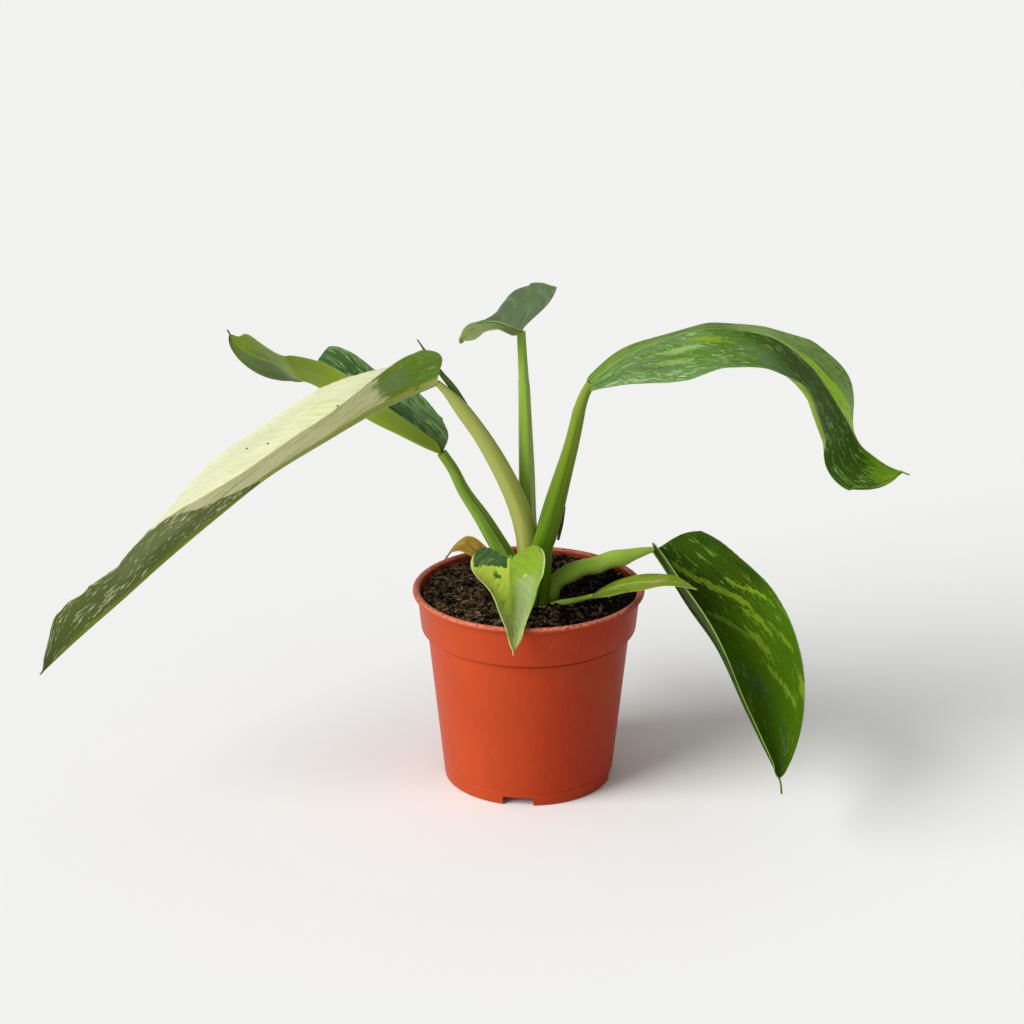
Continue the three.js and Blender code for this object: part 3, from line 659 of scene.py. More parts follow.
class PlantStalkSettings(bpy.types.PropertyGroup):
    stalk_green: colour_property("Green", "Usual stalk", "5a7c0e")
    stalk_bright: colour_property("Bright green", "The upright stalk", "a0c048")
    stalk_lime: colour_property("Lime green", "The shaded side of a bright stalk", "84a63a")
    stalk_upper: colour_property("Upper end", "The arching leaf's stalk near its blade", "7e8f2c")
    stalk_dark: colour_property("Dark green", "Shaded side of a stalk", "3f6204")
    stalk_olive: colour_property("Olive", "The long leaf's stalk", "a6ac58")
    stalk_olive_dark: colour_property("Dark olive", "Its shaded side", "8f9840")
    stalk_pale: colour_property("Pale", "Edges of the groove", "aab874")
    spear: colour_property("Newest leaf", "The rolled leaf", "3f5f1e")
    dry: colour_property("Dry", "Dried sheath", "33251a")
    straw: colour_property("Straw", "Withered leaf", "b8982e")
    rust: colour_property("Rust", "Withered leaf's brown", "6a4820")


class PlantStageSettings(bpy.types.PropertyGroup):
    lens: FloatProperty(name="Lens", description="Focal length in mm", default=86.7, min=1)
    eye: FloatVectorProperty(
        name="Camera",
        description="Place of the camera",
        size=3,
        default=(-0.0087, -1.2, 0.575),
        unit="LENGTH",
    )
    tilt: FloatProperty(
        name="Tilt",
        description="How far the camera looks down",
        default=math.radians(19.66),
        subtype="ANGLE",
        unit="ROTATION",
    )
    floor: colour_property("Floor", "Colour of the floor", "fbfbfa")
    key_power: FloatProperty(name="Key light", description="Strength of the key", default=3.6, min=0)
    fill_power: FloatProperty(name="Fill light", description="Strength of the fill", default=0.1, min=0)
    sky: FloatProperty(name="Sky", description="Strength of the even light", default=0.35, min=0)


class Path:
    """A smooth curve through points, read by its share of length."""

    def __init__(self, rows):
        self.points = [Vector(row) * MM for row in rows]
        self.lengths = [0.0]
        last = self.raw(0)
        for i in range(1, CURVE_STEPS + 1):
            here = self.raw(i / CURVE_STEPS)
            self.lengths.append(self.lengths[-1] + (here - last).length)
            last = here
        self.length = self.lengths[-1]

    def raw(self, t):
        spans = len(self.points) - 1
        i = min(int(t * spans), spans - 1)
        w = t * spans - i
        a, b = self.points[i], self.points[i + 1]
        before = self.points[i - 1] if i > 0 else 2 * a - b
        after = self.points[i + 2] if i + 2 <= spans else 2 * b - a
        leave, arrive = (b - before) / 2, (after - a) / 2
        return (
            (2 * w**3 - 3 * w**2 + 1) * a
            + (w**3 - 2 * w**2 + w) * leave
            + (3 * w**2 - 2 * w**3) * b
            + (w**3 - w**2) * arrive
        )

    def raw_share(self, u):
        want = u * self.length
        i = min(max(bisect_left(self.lengths, want), 1), CURVE_STEPS)
        low, high = self.lengths[i - 1], self.lengths[i]
        return (i - 1 + (want - low) / max(high - low, 1e-12)) / CURVE_STEPS

    def point(self, u):
        return self.raw(self.raw_share(u))

    def tangent(self, u):
        t = self.raw_share(u)
        return (self.raw(min(1, t + NUDGE)) - self.raw(max(0, t - NUDGE))).normalized()


def through(stations, u):
    """A value on the smooth curve through stations that are evenly spaced from 0 to 1."""
    last = len(stations) - 1
    i = min(int(u * last), last - 1)
    w = u * last - i
    a, b = stations[i], stations[i + 1]
    leave = (b - stations[max(0, i - 1)]) / 2
    arrive = (stations[min(last, i + 2)] - a) / 2
    return (
        (2 * a - 2 * b + leave + arrive) * w**3
        + (3 * b - 3 * a - 2 * leave - arrive) * w**2
        + leave * w
        + a
    )


def frame_at(path, u, heading):
    """Tangent, sideways and upward directions of a path at u."""
    tangent = path.tangent(u)
    across = Vector((heading[1], -heading[0], 0)).normalized()
    side = (across - tangent * across.dot(tangent)).normalized()
    return tangent, side, side.cross(tangent)


def half_width_at(leaf, u, right):
    if u < leaf["widest"]:
        left_over = (1 - u / leaf["widest"]) ** 2
        return leaf["half_width"] * (1 - (1 - leaf["base_share"][right]) * left_over)
    share = min(1, (u - leaf["widest"]) / (1 - leaf["drip"] - leaf["widest"]))
    first, second = leaf["tip_power"]
    return max(TIP_HALF_WIDTH, leaf["half_width"] * (1 - share**first) ** second)


def section_at(lift, curl, out):
    """One half's section for a half width of 1: straight half way out, then an arc."""
    straight = min(out, 0.5)
    bent = out - straight
    turn = math.radians(curl) * bent * 2
    start = math.radians(lift)
    chord = bent if abs(turn) < 1e-6 else bent * math.sin(turn / 2) / (turn / 2)
    return (
        straight * math.cos(start) + chord * math.cos(start + turn / 2),
        straight * math.sin(start) + chord * math.sin(start + turn / 2),
    )


class BladeRow:
    """Everything of a blade that is the same right across it at u."""

    def __init__(self, leaf, path, u, look):
        self.leaf = leaf
        self.rolls = look["rolls"]
        self.u = u
        self.centre = path.point(u)
        self.tangent, self.side, self.up = frame_at(path, u, leaf["heading"])
        self.lifts = [through(leaf["lift"][i], u) for i in (0, 1)]
        self.curls = [through(leaf["curl"][i], u) for i in (0, 1)]
        self.widths = [half_width_at(leaf, u, i) for i in (0, 1)]
        for side, place, length, depth in look["nicks"]:
            right = 1 if side > 0 else 0
            self.widths[right] *= 1 - depth * math.exp(-(((u - place) / length) ** 2))
        for right in (0, 1):
            ripple = noise.noise(Vector((u * path.length / MM / 4, right * 7, leaf["half_width"])))
            self.widths[right] *= 1 - look["ragged"] * abs(ripple)

    def point(self, v):
        """A place on the blade, with its margin rolled up where the leaf's is."""
        for side, start, end, share, radius in self.rolls:
            if side * v > share and start < self.u < end:
                strength = min(1, 1.6 * math.sin(math.pi * (self.u - start) / (end - start)) ** 2)
                foot = self.open_point(side * share)
                outward = (foot - self.open_point(side * (share - 0.02))).normalized()
                upward = self.tangent.cross(outward)
                if upward.dot(self.up) < 0:
                    upward.negate()
                reach = (abs(v) - share) * self.widths[1 if side > 0 else 0] * MM
                turn = max(1e-4, reach * strength / (radius * MM))
                bow = reach / turn
                return foot + outward * (bow * math.sin(turn)) + upward * (bow * (1 - math.cos(turn)))
        return self.open_point(v)

    def open_point(self, v):
        leaf = self.leaf
        out = abs(v)
        right = 1 if v > 0 else 0
        width = self.widths[right]
        folded = min(1, width / FOLD_FROM)
        fold = folded * (self.lifts[0] + self.lifts[1]) / 2
        tilt = (self.lifts[right] - self.lifts[1 - right]) / 2
        sideways, upwards = section_at(fold + tilt, folded * self.curls[right], out)
        fade = max(0, 1 - self.u / LOBE_REACH) ** 2
        back = leaf["lobes"][right] * fade
        back *= math.sin(math.pi * leaf["lobe_close"] * out ** leaf["lobe_power"])
        height, count, phase = leaf["wave"]
        wave = height * math.sin(2 * math.pi * count * self.u + phase + 2 * right)
        wave *= out**3 * (1 - self.u)
        return (
            self.centre
            - self.tangent * (back * MM)
            + self.side * (math.copysign(1, v) * width * sideways * MM)
            + self.up * ((width * upwards + wave) * MM)
        )


def put_in_scene(name, data):
    """A new object with the data, linked to the scene."""
    item = bpy.data.objects.new(name, data)
    bpy.context.scene.collection.objects.link(item)
    return item


def smooth_but_sharp(bm, sharp_turn):
    """Shades a mesh smooth but for the edges that turn by more than the angle."""
    for face in bm.faces:
        face.smooth = True
    for edge in bm.edges:
        edge.smooth = edge.calc_face_angle(0) < sharp_turn


def finish_mesh(name, bm, material, replaced, sharp_turn=SHARP_TURN):
    """Makes the piece from its mesh, riding on the root body."""
    smooth_but_sharp(bm, sharp_turn)
    mesh = bpy.data.meshes.new(name)
    bm.to_mesh(mesh)
    bm.free()
    piece = put_in_scene(name, mesh)
    mesh.materials.append(material)
    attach(piece, "root")
    if replaced:
        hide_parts(*replaced)
    return piece


def round_bar(sides, steps, top=1):
    """A bmesh of an upright bar from -1 to 1, of radius 1 at its foot, cut into steps."""
    bm = bmesh.new()
    bmesh.ops.create_cone(
        bm, cap_ends=True, cap_tris=False, segments=sides, radius1=1, radius2=top, depth=2
    )
    uprights = [e for e in bm.edges if abs(e.verts[0].co.z - e.verts[1].co.z) > 1]
    bmesh.ops.subdivide_edges(bm, edges=uprights, cuts=steps - 1, use_grid_fill=False)
    return bm


def place_layer(bm):
    """The layer that holds each vertex's place on its own piece, for its material."""
    return bm.verts.layers.float_vector.new("place")


def vein_at(look, leaf, path, settings, u, v):
    """1 on a lateral vein, 0 half way between two."""
    spacing = settings.vein_spacing / path.length
    out = abs(v)
    phase = (u - look["vein_skew"] * (out + 0.25 * out**2)) / spacing
    phase += 0.5 * noise.noise(Vector((u * 9, v * 3, leaf["half_width"])))
    return (0.5 + 0.5 * math.cos(2 * math.pi * phase)) ** 3


def vein_relief(vein, leaf, path, settings, u, v):
    """How far the upper face stands out at a place, in metres: sunken veins, puffed between."""
    out = abs(v)
    near_rib = min(1, out * 6)
    near_margin = min(1, (1 - out) * 5)
    size = min(1, leaf["half_width"] / 25)
    puff = noise.noise(Vector((u * path.length / MM / 22, v * 2.2, leaf["half_width"] * 3.1)))
    return size * near_margin * near_rib * (settings.vein_depth * (0.35 - vein) + 0.45 * MM * puff)


def build_blade(name, node, leaf, look, settings, material, grid):
    """A blade: a grid bent to the leaf's form, with veins, a thickness and a rib below."""
    path = Path(leaf["midrib"])
    bm = bmesh.new()
    bmesh.ops.create_grid(bm, x_segments=grid[1], y_segments=grid[0], size=1)
    layer = place_layer(bm)
    reach_layer = bm.verts.layers.float.new("reach")
    vein_layer = bm.verts.layers.float.new("vein")
    rows = {}
    for vertex in bm.verts:
        u = round((vertex.co.y + 1) / 2, 6)
        x = vertex.co.x
        # Columns stand closer together near the midrib
        v = x * (0.4 + 0.6 * abs(x) * (3 - 2 * abs(x)))
        if u not in rows:
            rows[u] = BladeRow(leaf, path, u, look)
        vertex.co = rows[u].point(v)
        vertex[layer] = (u, v, 0)
        vertex[reach_layer] = abs(v) * rows[u].widths[1 if v > 0 else 0] * MM
        vertex[vein_layer] = vein_at(look, leaf, path, settings, u, v)
    bmesh.ops.recalc_face_normals(bm, faces=bm.faces)
    bm.normal_update()
    middle = min(bm.verts, key=lambda w: abs(w[layer][0] - 0.5) + abs(w[layer][1] - 0.3))
    if middle.normal.dot(rows[round(middle[layer][0], 6)].up) < 0:
        bmesh.ops.reverse_faces(bm, faces=bm.faces)
        bm.normal_update()
    normals = [vertex.normal.copy() for vertex in bm.verts]
    relief = [
        vein_relief(v[vein_layer], leaf, path, settings, v[layer][0], v[layer][1]) for v in bm.verts
    ]
    count = len(bm.verts)
    made = bmesh.ops.solidify(bm, geom=bm.faces[:], thickness=0.0)
    bm.verts.ensure_lookup_table()
    twins = {}
    for vertex in set(g for g in made["geom"] if isinstance(g, bmesh.types.BMVert)):
        twins.setdefault(vertex.co.copy().freeze(), vertex)
    for i, vertex in enumerate(bm.verts[:count]):
        u, v = vertex[layer][0], vertex[layer][1]
        twin = twins[vertex.co.copy().freeze()]
        width = half_width_at(leaf, u, 1 if v > 0 else 0)
        # The blade thins out to its margin
        thin = min(1, 0.35 + (1 - abs(v)) * 5)
        out = abs(v) * width
        groove = look["groove"] * GROOVE_DEPTH * MM * math.exp(-((out / GROOVE_HALF_WIDTH) ** 2))
        groove *= min(1, width / 6)
        rib = leaf["rib"] * (1 - u) * MM * math.exp(-((out / RIB_HALF_WIDTH) ** 2)) * min(1, width / 5)
        vertex.co += normals[i] * (thin * settings.sheet / 2 + relief[i] - groove)
        twin.co += normals[i] * (relief[i] - thin * settings.sheet / 2 - rib)
        twin[layer] = (u, v, 1)
        twin[reach_layer] = vertex[reach_layer]
    bm.normal_update()
    bmesh.ops.recalc_face_normals(bm, faces=bm.faces)
    return finish_mesh(name, bm, material, [node])


def build_rod(
    name, rows, heading, widths, material, replaced, sides=28, steps=84, ripple=0.0, sheath=None
):
    """A stalk: a round rod bent along its curve, with a groove and raised edges on its upper side."""
    path = Path(rows)
    bm = round_bar(sides, steps)
    layer = place_layer(bm)
    frames = {}
    for vertex in bm.verts:
        t = min(1, max(0, round((vertex.co.z + 1) / 2, 6)))
        x, z = vertex.co.x, vertex.co.y
        if t not in frames:
            frames[t] = (path.point(t), *frame_at(path, t, heading), through(widths, t) / 2 * MM)
        centre, tangent, side, up, half = frames[t]
        if sheath:
            end, face, wrap, swell = sheath
            off = abs(math.atan2(x, z) / math.pi - face)
            off = min(off, 2 - off)
            if off < wrap and t < end - 0.05 * off / wrap:
                half *= 1 + swell * min(1, 3 * t)
        inner = max(0, z)
        # The groove's raised edges
        edge = 0.05 * math.exp(-(((z - 0.7) / 0.12) ** 2))
        angle = math.atan2(x, z) / math.pi
        wavy = ripple * max(0, -z) * math.sin(t * 34) * math.sin(math.pi * t)
        depth = z - STALK_GROOVE * inner**6 * min(1, 2.5 * (1 - t) + 0.3) + edge
        vertex.co = centre + side * (x * half * (1 + edge)) + up * (half * (depth - wavy))
        vertex[layer] = (t, angle, 0)
    bmesh.ops.recalc_face_normals(bm, faces=bm.faces)
    return finish_mesh(name, bm, material, replaced)


class Paint:
    """A material in the making, with short calls for the nodes it is made of."""

    def __init__(self, name, roughness=0.45, specular=0.5, ior=1.4):
        self.material = bpy.data.materials.new(name)
        self.material.use_nodes = True
        self.tree = self.material.node_tree
        self.shader = self.tree.nodes["Principled BSDF"]
        self.shader.inputs["Roughness"].default_value = roughness
        self.shader.inputs["Specular IOR Level"].default_value = specular
        self.shader.inputs["IOR"].default_value = ior

    def put(self, socket, value):
        if isinstance(value, bpy.types.NodeSocket):
            self.tree.links.new(value, socket)
        elif hasattr(value, "__len__"):
            socket.default_value = (*value, 1)[: len(socket.default_value)]
        else:
            socket.default_value = value

    def add(self, kind, inputs, **settings):
        node = self.tree.nodes.new("ShaderNode" + kind)
        for key, value in settings.items():
            setattr(node, key, value)
        for key, value in inputs.items():
            self.put(node.inputs[key], value)
        return node

    def math(self, operation, a, b=0.0, c=0.0):
        return self.add("Math", {0: a, 1: b, 2: c}, operation=operation).outputs[0]

    def times(self, first, *others):
        for other in others:
            first = self.math("MULTIPLY", first, other)
        return first

    def step(self, value, low, high):
        """0 below low, 1 above high, smooth between."""
        node = self.add(
            "MapRange",
            {"Value": value, "From Min": low, "From Max": high},
            interpolation_type="SMOOTHSTEP",
        )
        return node.outputs["Result"]

    def mix(self, share, low, high):
        node = self.add("Mix", {0: share}, data_type="RGBA")
        self.put(node.inputs[6], low)
        self.put(node.inputs[7], high)
        return node.outputs[2]

    def tint(self, colour, other, share, *masks):
        """A colour with a share of another over it where every mask is 1."""
        return self.mix(self.times(*masks, share), colour, other)

    def vector(self, x, y, z):
        return self.add("CombineXYZ", {0: x, 1: y, 2: z}).outputs[0]

    def scaled(self, vector, factors):
        return self.add("VectorMath", {0: vector, 1: factors}, operation="MULTIPLY").outputs[0]

    def noise(self, vector, scale, detail=2.0, roughness=0.5, distortion=0.0):
        node = self.add(
            "TexNoise",
            {
                "Vector": vector,
                "Scale": scale,
                "Detail": detail,
                "Roughness": roughness,
                "Distortion": distortion,
            },
        )
        return node.outputs["Fac"]

    def place(self):
        """The three numbers of each place on its own piece."""
        node = self.add("Attribute", {}, attribute_name="place")
        return self.split(node.outputs["Vector"])

    def split(self, vector):
        node = self.add("SeparateXYZ", {0: vector})
        return node.outputs[0], node.outputs[1], node.outputs[2]

    def layer(self, name):
        """The value of a mesh's own layer."""
        return self.add("Attribute", {}, attribute_name=name).outputs["Fac"]

    def object_place(self):
        return self.add("TexCoord", {}).outputs["Object"]

    def finish(self, colour, height=None, distance=0.0002, strength=1.0, roughness=None):
        self.put(self.shader.inputs["Base Color"], colour)
        if roughness is not None:
            self.put(self.shader.inputs["Roughness"], roughness)
        if height is not None:
            node = self.add("Bump", {"Strength": strength, "Distance": distance, "Height": height})
            self.put(self.shader.inputs["Normal"], node.outputs["Normal"])
        return self.material

    def two_tones(self, tone, low, high, first, second, **relief):
        """Ends with two colours, mixed by one noise that is the relief too."""
        colour = self.mix(self.step(tone, low, high), first, second)
        return self.finish(colour, tone, **relief)


def blade_material(name, leaf, look, settings, seed):
    """Leaf green with streaks and flecks that follow the veins, patches, pale rib and margin."""
    paint = Paint("blade_" + name, roughness=0.4, specular=look["gloss"], ior=1.3)
    length = Path(leaf["midrib"]).length
    half_width = leaf["half_width"] * MM
    u, v, under = paint.place()
    reach = paint.layer("reach")
    out = paint.math("ABSOLUTE", v)
    right = paint.step(v, -0.002, 0.002)
    sway = paint.times(out, out, 0.25)
    skew = paint.math("MULTIPLY_ADD", under, look["under_skew"] - look["vein_skew"], look["vein_skew"])
    along = paint.math("SUBTRACT", u, paint.times(paint.math("ADD", out, sway), skew))
    side_place = paint.math("MULTIPLY_ADD", right, 5.3, seed)
    stretch = math.hypot(1, look["vein_skew"] * length / half_width)
    metric = paint.vector(
        paint.times(along, length / stretch),
        paint.times(out, half_width * stretch),
        paint.times(side_place, 0.1),
    )

    def veined_noise(across_veins, along_veins, detail, *settings):
        return paint.noise(paint.scaled(metric, (across_veins, along_veins, 10)), 1, detail, *settings)

    ragged = veined_noise(480, 300, 4, 0.7)
    rough_edge = paint.math("SUBTRACT", ragged, 0.5)
    broad = veined_noise(150, 58, 3, 0.55, 0.8)
    broad = paint.math("MULTIPLY_ADD", rough_edge, 0.3, broad)
    small = paint.scaled(metric, (*look["fleck_scale"], 31))
    small = paint.noise(small, 1, 2, 0.5, 0.8)
    small = paint.math("MULTIPLY_ADD", rough_edge, 0.22, small)
    clouds = veined_noise(40, 40, 2)
    clusters = veined_noise(70, 70, 2)
    small = paint.math("ADD", small, paint.times(paint.math("SUBTRACT", clusters, 0.5), 0.35))
    grain = paint.noise(metric, 2600, 2)
    creases = veined_noise(800, 260, 3, 0.6, 0.6)
    vein = paint.layer("vein")

    def colour(code):
        return getattr(settings, code)

    def layered(ground, mottle, fleck):
        """One side's colour on one face: ground, broad streaks and small marks."""
        base = colour(ground)
        level = STREAK_LEVEL - COVER_SPAN * mottle[1]
        streaks = paint.step(broad, level, level + look["blend"])
        first = paint.mix(streaks, base, colour(mottle[0]))
        level = FLECK_LEVEL - COVER_SPAN * fleck[1]
        return paint.mix(paint.step(small, level, level + MARK_EDGE), first, colour(fleck[0]))

    faces = []
    for ground, mottle, fleck in (
        (look["ground"], look["mottle"], look["fleck"]),
        (look["under"], look["under_fleck"], look["under_fleck"]),
    ):
        left_half = layered(ground[0], mottle[0], fleck[0])
        right_half = layered(ground[1], mottle[1], fleck[1])
        faces.append(paint.mix(right, left_half, right_half))
    tint, share = look["vein_tint"]
    veined = (paint.step(vein, 0.3, 0.95), paint.step(broad, 0.36, 0.6))
    faces[0] = paint.tint(faces[0], colour(tint), share, *veined)
    for side, face, slant, start, end, inner, outer, code, jag, soft in look["patches"]:
        shift = paint.times(rough_edge, jag * 1.6)
        here = paint.math("ADD", paint.math("MULTIPLY_ADD", out, -slant, u), shift)
        there = paint.math("ADD", out, paint.times(shift, 1.2))
        mask = paint.times(
            paint.step(here, start - soft, start + soft),
            paint.step(here, end + soft, end - soft),
            paint.step(there, inner - 3 * soft, inner + 3 * soft),
            paint.step(there, outer + 3 * soft, outer - 3 * soft),
        )
        if side > 0:
            mask = paint.times(mask, right)
        if side < 0:
            mask = paint.times(mask, paint.math("SUBTRACT", 1, right))
        marks, mark = PATCH_MARKS[code]
        marked = paint.mix(paint.step(small, mark, mark + MARK_EDGE), colour(code), colour(marks))
        for i in (0, 1):
            if face in (i, 2):
                faces[i] = paint.mix(mask, faces[i], marked)
    whole = paint.mix(paint.step(under, 0.4, 0.6), faces[0], faces[1])
    near_rib = (paint.step(reach, 0.9 * MM, 0.35 * MM), paint.step(u, 1.0, 0.6))
    whole = paint.tint(whole, colour("pale_green"), look["rib_share"], *near_rib)
    margin_colour, margin_from = look["margin"]
    whole = paint.tint(whole, colour(margin_colour), 0.6, paint.step(out, margin_from, 0.998))
    whole = paint.tint(whole, CLOUD_WASH, 0.14, paint.step(clouds, 0.35, 0.7))
    whole = paint.tint(whole, GRAIN_WASH, 0.03, paint.step(grain, 0.4, 0.8))
    wrinkled = paint.step(creases, 0.54, 0.74)
    whole = paint.tint(whole, CREASE_WASH, 0.1 * look["creases"], wrinkled)
    veins = veined_noise(2200, 90, 2)
    height = paint.math("ADD", paint.times(veins, 0.6), paint.times(grain, 0.3))
    height = paint.math("ADD", height, paint.times(creases, look["creases"]))
    rough = paint.math("MULTIPLY_ADD", broad, 0.2, 0.3)
    return paint.finish(whole, height, distance=0.0002, strength=0.7, roughness=rough)


def stalk_material(name, codes, sheath, stalks, leaves, seed):
    """Stalk green with lengthwise stripes, darker broad patches and pale edges along the groove."""
    paint = Paint("stalk_" + name, roughness=0.4, specular=0.2, ior=1.3)

    def colour(code):
        owner = stalks if hasattr(stalks, code) else leaves
        return getattr(owner, code)

    t, angle, _ = paint.place()
    cells = paint.vector(paint.times(t, 2.2), paint.times(angle, 9), seed)
    stripes = paint.noise(cells, 1.6, 3, 0.6)
    broad = paint.noise(paint.vector(paint.times(t, 1.4), paint.times(angle, 2.4), seed + 4), 1.3, 2)
    body = paint.mix(paint.step(broad, 0.42, 0.62), colour(codes[0]), colour(codes[1]))
    body = paint.tint(body, colour(codes[1]), 0.5, paint.step(stripes, 0.5, 0.72))
    body = paint.tint(body, colour(codes[2]), 0.35, paint.step(stripes, 0.42, 0.24))
    out = paint.math("ABSOLUTE", angle)
    edge = (paint.step(out, 0.19, 0.23), paint.step(out, 0.3, 0.25))
    body = paint.tint(body, colour(codes[2]), 0.7, *edge)
    body = paint.tint(body, colour(codes[3]), 0.8, paint.step(t, 0.4, 0.95))
    if sheath:
        end, face, wrap, _ = sheath
        seam = min(face + wrap, 0.62)
        before = paint.step(angle, seam - 0.03, seam)
        after = paint.step(angle, seam + 0.02, seam)
        below = paint.step(t, end, end - 0.03)
        body = paint.tint(body, colour("stalk_dark"), 0.75, before, after, below)
    body = paint.tint(body, colour("stalk_olive"), 0.5, paint.step(t, 0.14, 0.03))
    fine = paint.noise(paint.vector(paint.times(t, 30), paint.times(angle, 60), seed), 1, 2)
    return paint.finish(body, fine, distance=0.00015, strength=0.5)


def dry_material(name, first, second, roughness):
    """Dead leaf: fine lengthwise streaks of two colours, dull and wrinkled."""
    paint = Paint(name, roughness=roughness, specular=0.25)
    t, angle, _ = paint.place()
    place = paint.vector(paint.times(t, 4), paint.times(angle, 7), 0.0)
    streaks = paint.noise(place, 1.5, 4, 0.65, 0.4)
    spots = paint.noise(paint.object_place(), 260, 3)
    colour = paint.mix(paint.step(streaks, 0.38, 0.66), first, second)
    colour = paint.tint(colour, second, 0.6, paint.step(spots, 0.55, 0.7))
    return paint.finish(colour, streaks, distance=0.0005, strength=0.8)


def pot_material(settings):
    """Satin terracotta-coloured plastic: faint moulding lines, scuffs that partly paint the lip's
    highlight, dust inside, and painted light, lighter on the left where the key light falls and darker
    on the right.
    """
    paint = Paint("pot_plastic", roughness=0.45, specular=0.25, ior=1.3)
    place = paint.object_place()
    x, _, z = paint.split(place)
    across = paint.scaled(place, (1, 1, 0))
    radius = paint.add("VectorMath", {0: across}, operation="LENGTH").outputs["Value"]
    clouds = paint.noise(place, 22, 3)
    fine = paint.noise(paint.scaled(place, (1, 1, 0.12)), 900, 2)
    speckle = paint.noise(place, 480, 3, 0.6)
    base = settings.plastic
    darker = tuple(0.8 * c for c in base)
    lighter = tuple(min(1, 1.16 * c) for c in base)
    # Painted light: the left side, where the key light falls, takes the lighter plastic, and the right
    # side the darker, shaded one
    painted_lit = paint.step(x, 0.04, -0.04)
    colour = paint.mix(painted_lit, settings.plastic_painted_shade, base)
    colour = paint.tint(colour, darker, 0.6, paint.step(clouds, 0.7, 0.3))
    colour = paint.tint(colour, lighter, 0.25, paint.step(fine, 0.5, 0.75))
    inside = paint.step(radius, 0.0572, 0.0566)
    dusty = (inside, paint.step(z, 0.094, 0.097), paint.step(speckle, 0.46, 0.56))
    colour = paint.tint(colour, settings.dust, 0.85, *dusty)
    # Pale specks on the lip's top: partly real wear, partly a painted highlight where light falls on
    # the lip
    wear_and_highlight = paint.noise(place, 900, 3, 0.6)
    scuffed_and_lit = (paint.step(z, 0.1038, 0.1052), paint.step(wear_and_highlight, 0.36, 0.56))
    colour = paint.tint(colour, settings.scuff_and_highlight, 0.68, *scuffed_and_lit)
    rough = paint.math("MULTIPLY_ADD", clouds, 0.2, 0.32)
    height = paint.math("ADD", paint.times(fine, 0.6), paint.times(speckle, 0.5))
    return paint.finish(colour, height, distance=0.0001, strength=0.35, roughness=rough)


def peat_material(settings, name="peat", brown_share=0.5):
    """Peat: near-black with drier brown fibres, very rough; the brown is also painted on ridge tops and
    towards the lit left side as painted light.
    """
    paint = Paint(name, roughness=0.95, specular=0.15)
    place = paint.object_place()
    crumbs = paint.noise(paint.scaled(place, (1, 1.7, 1)), 300, 6, 0.7, 0.6)
    fibres = paint.noise(paint.scaled(place, (0.4, 1.6, 1)), 420, 5, 0.65, 1.6)
    patches = paint.noise(place, 60, 3)
    ridge = paint.layer("ridge")
    # Brown where crumbs and patches are drier, and painted light: brown on ridge tops as highlights and
    # more of it towards the left, where the key light falls
    dry = paint.math("MULTIPLY_ADD", paint.step(ridge, -0.6, 1.4), 0.16, crumbs)
    dry = paint.math("MULTIPLY_ADD", patches, 0.3, dry)
    dry = paint.math("MULTIPLY_ADD", paint.split(place)[0], -1.6, dry)
    dry = paint.times(paint.step(dry, 0.7, 0.83), paint.step(fibres, 0.42, 0.6))
    colour = paint.mix(dry, settings.dark, settings.brown)
    strands = (paint.step(fibres, 0.62, 0.7), paint.step(patches, 0.35, 0.65))
    colour = paint.tint(colour, settings.fibre, brown_share, *strands)
    return paint.finish(colour, crumbs, distance=0.002, strength=1.0)


def fibre_material(peat):
    """Plant fibres: pale brown to dark along their length."""
    paint = Paint("peat_fibre", roughness=0.85, specular=0.2)
    tone = paint.noise(paint.object_place(), 160, 3)
    return paint.two_tones(tone, 0.35, 0.65, peat.brown, peat.fibre, distance=0.0002, strength=0.5)


def grain_material(peat):
    """Pale mineral grains."""
    paint = Paint("pale_grain", roughness=0.8, specular=0.3)
    tone = paint.noise(paint.object_place(), 900, 3)
    dusty = tuple(0.6 * c for c in peat.grain)
    return paint.two_tones(tone, 0.4, 0.7, peat.grain, dusty, distance=0.0002, strength=0.6)


def crown_material(peat, stalks):
    """The crown's brown bark with rings of old leaf scars."""
    paint = Paint("crown_bark", roughness=0.8, specular=0.25)
    rings = paint.noise(paint.scaled(paint.object_place(), (1, 1, 5)), 120, 3, 0.6)
    return paint.two_tones(rings, 0.4, 0.6, stalks.dry, peat.brown, distance=0.0006, strength=0.7)


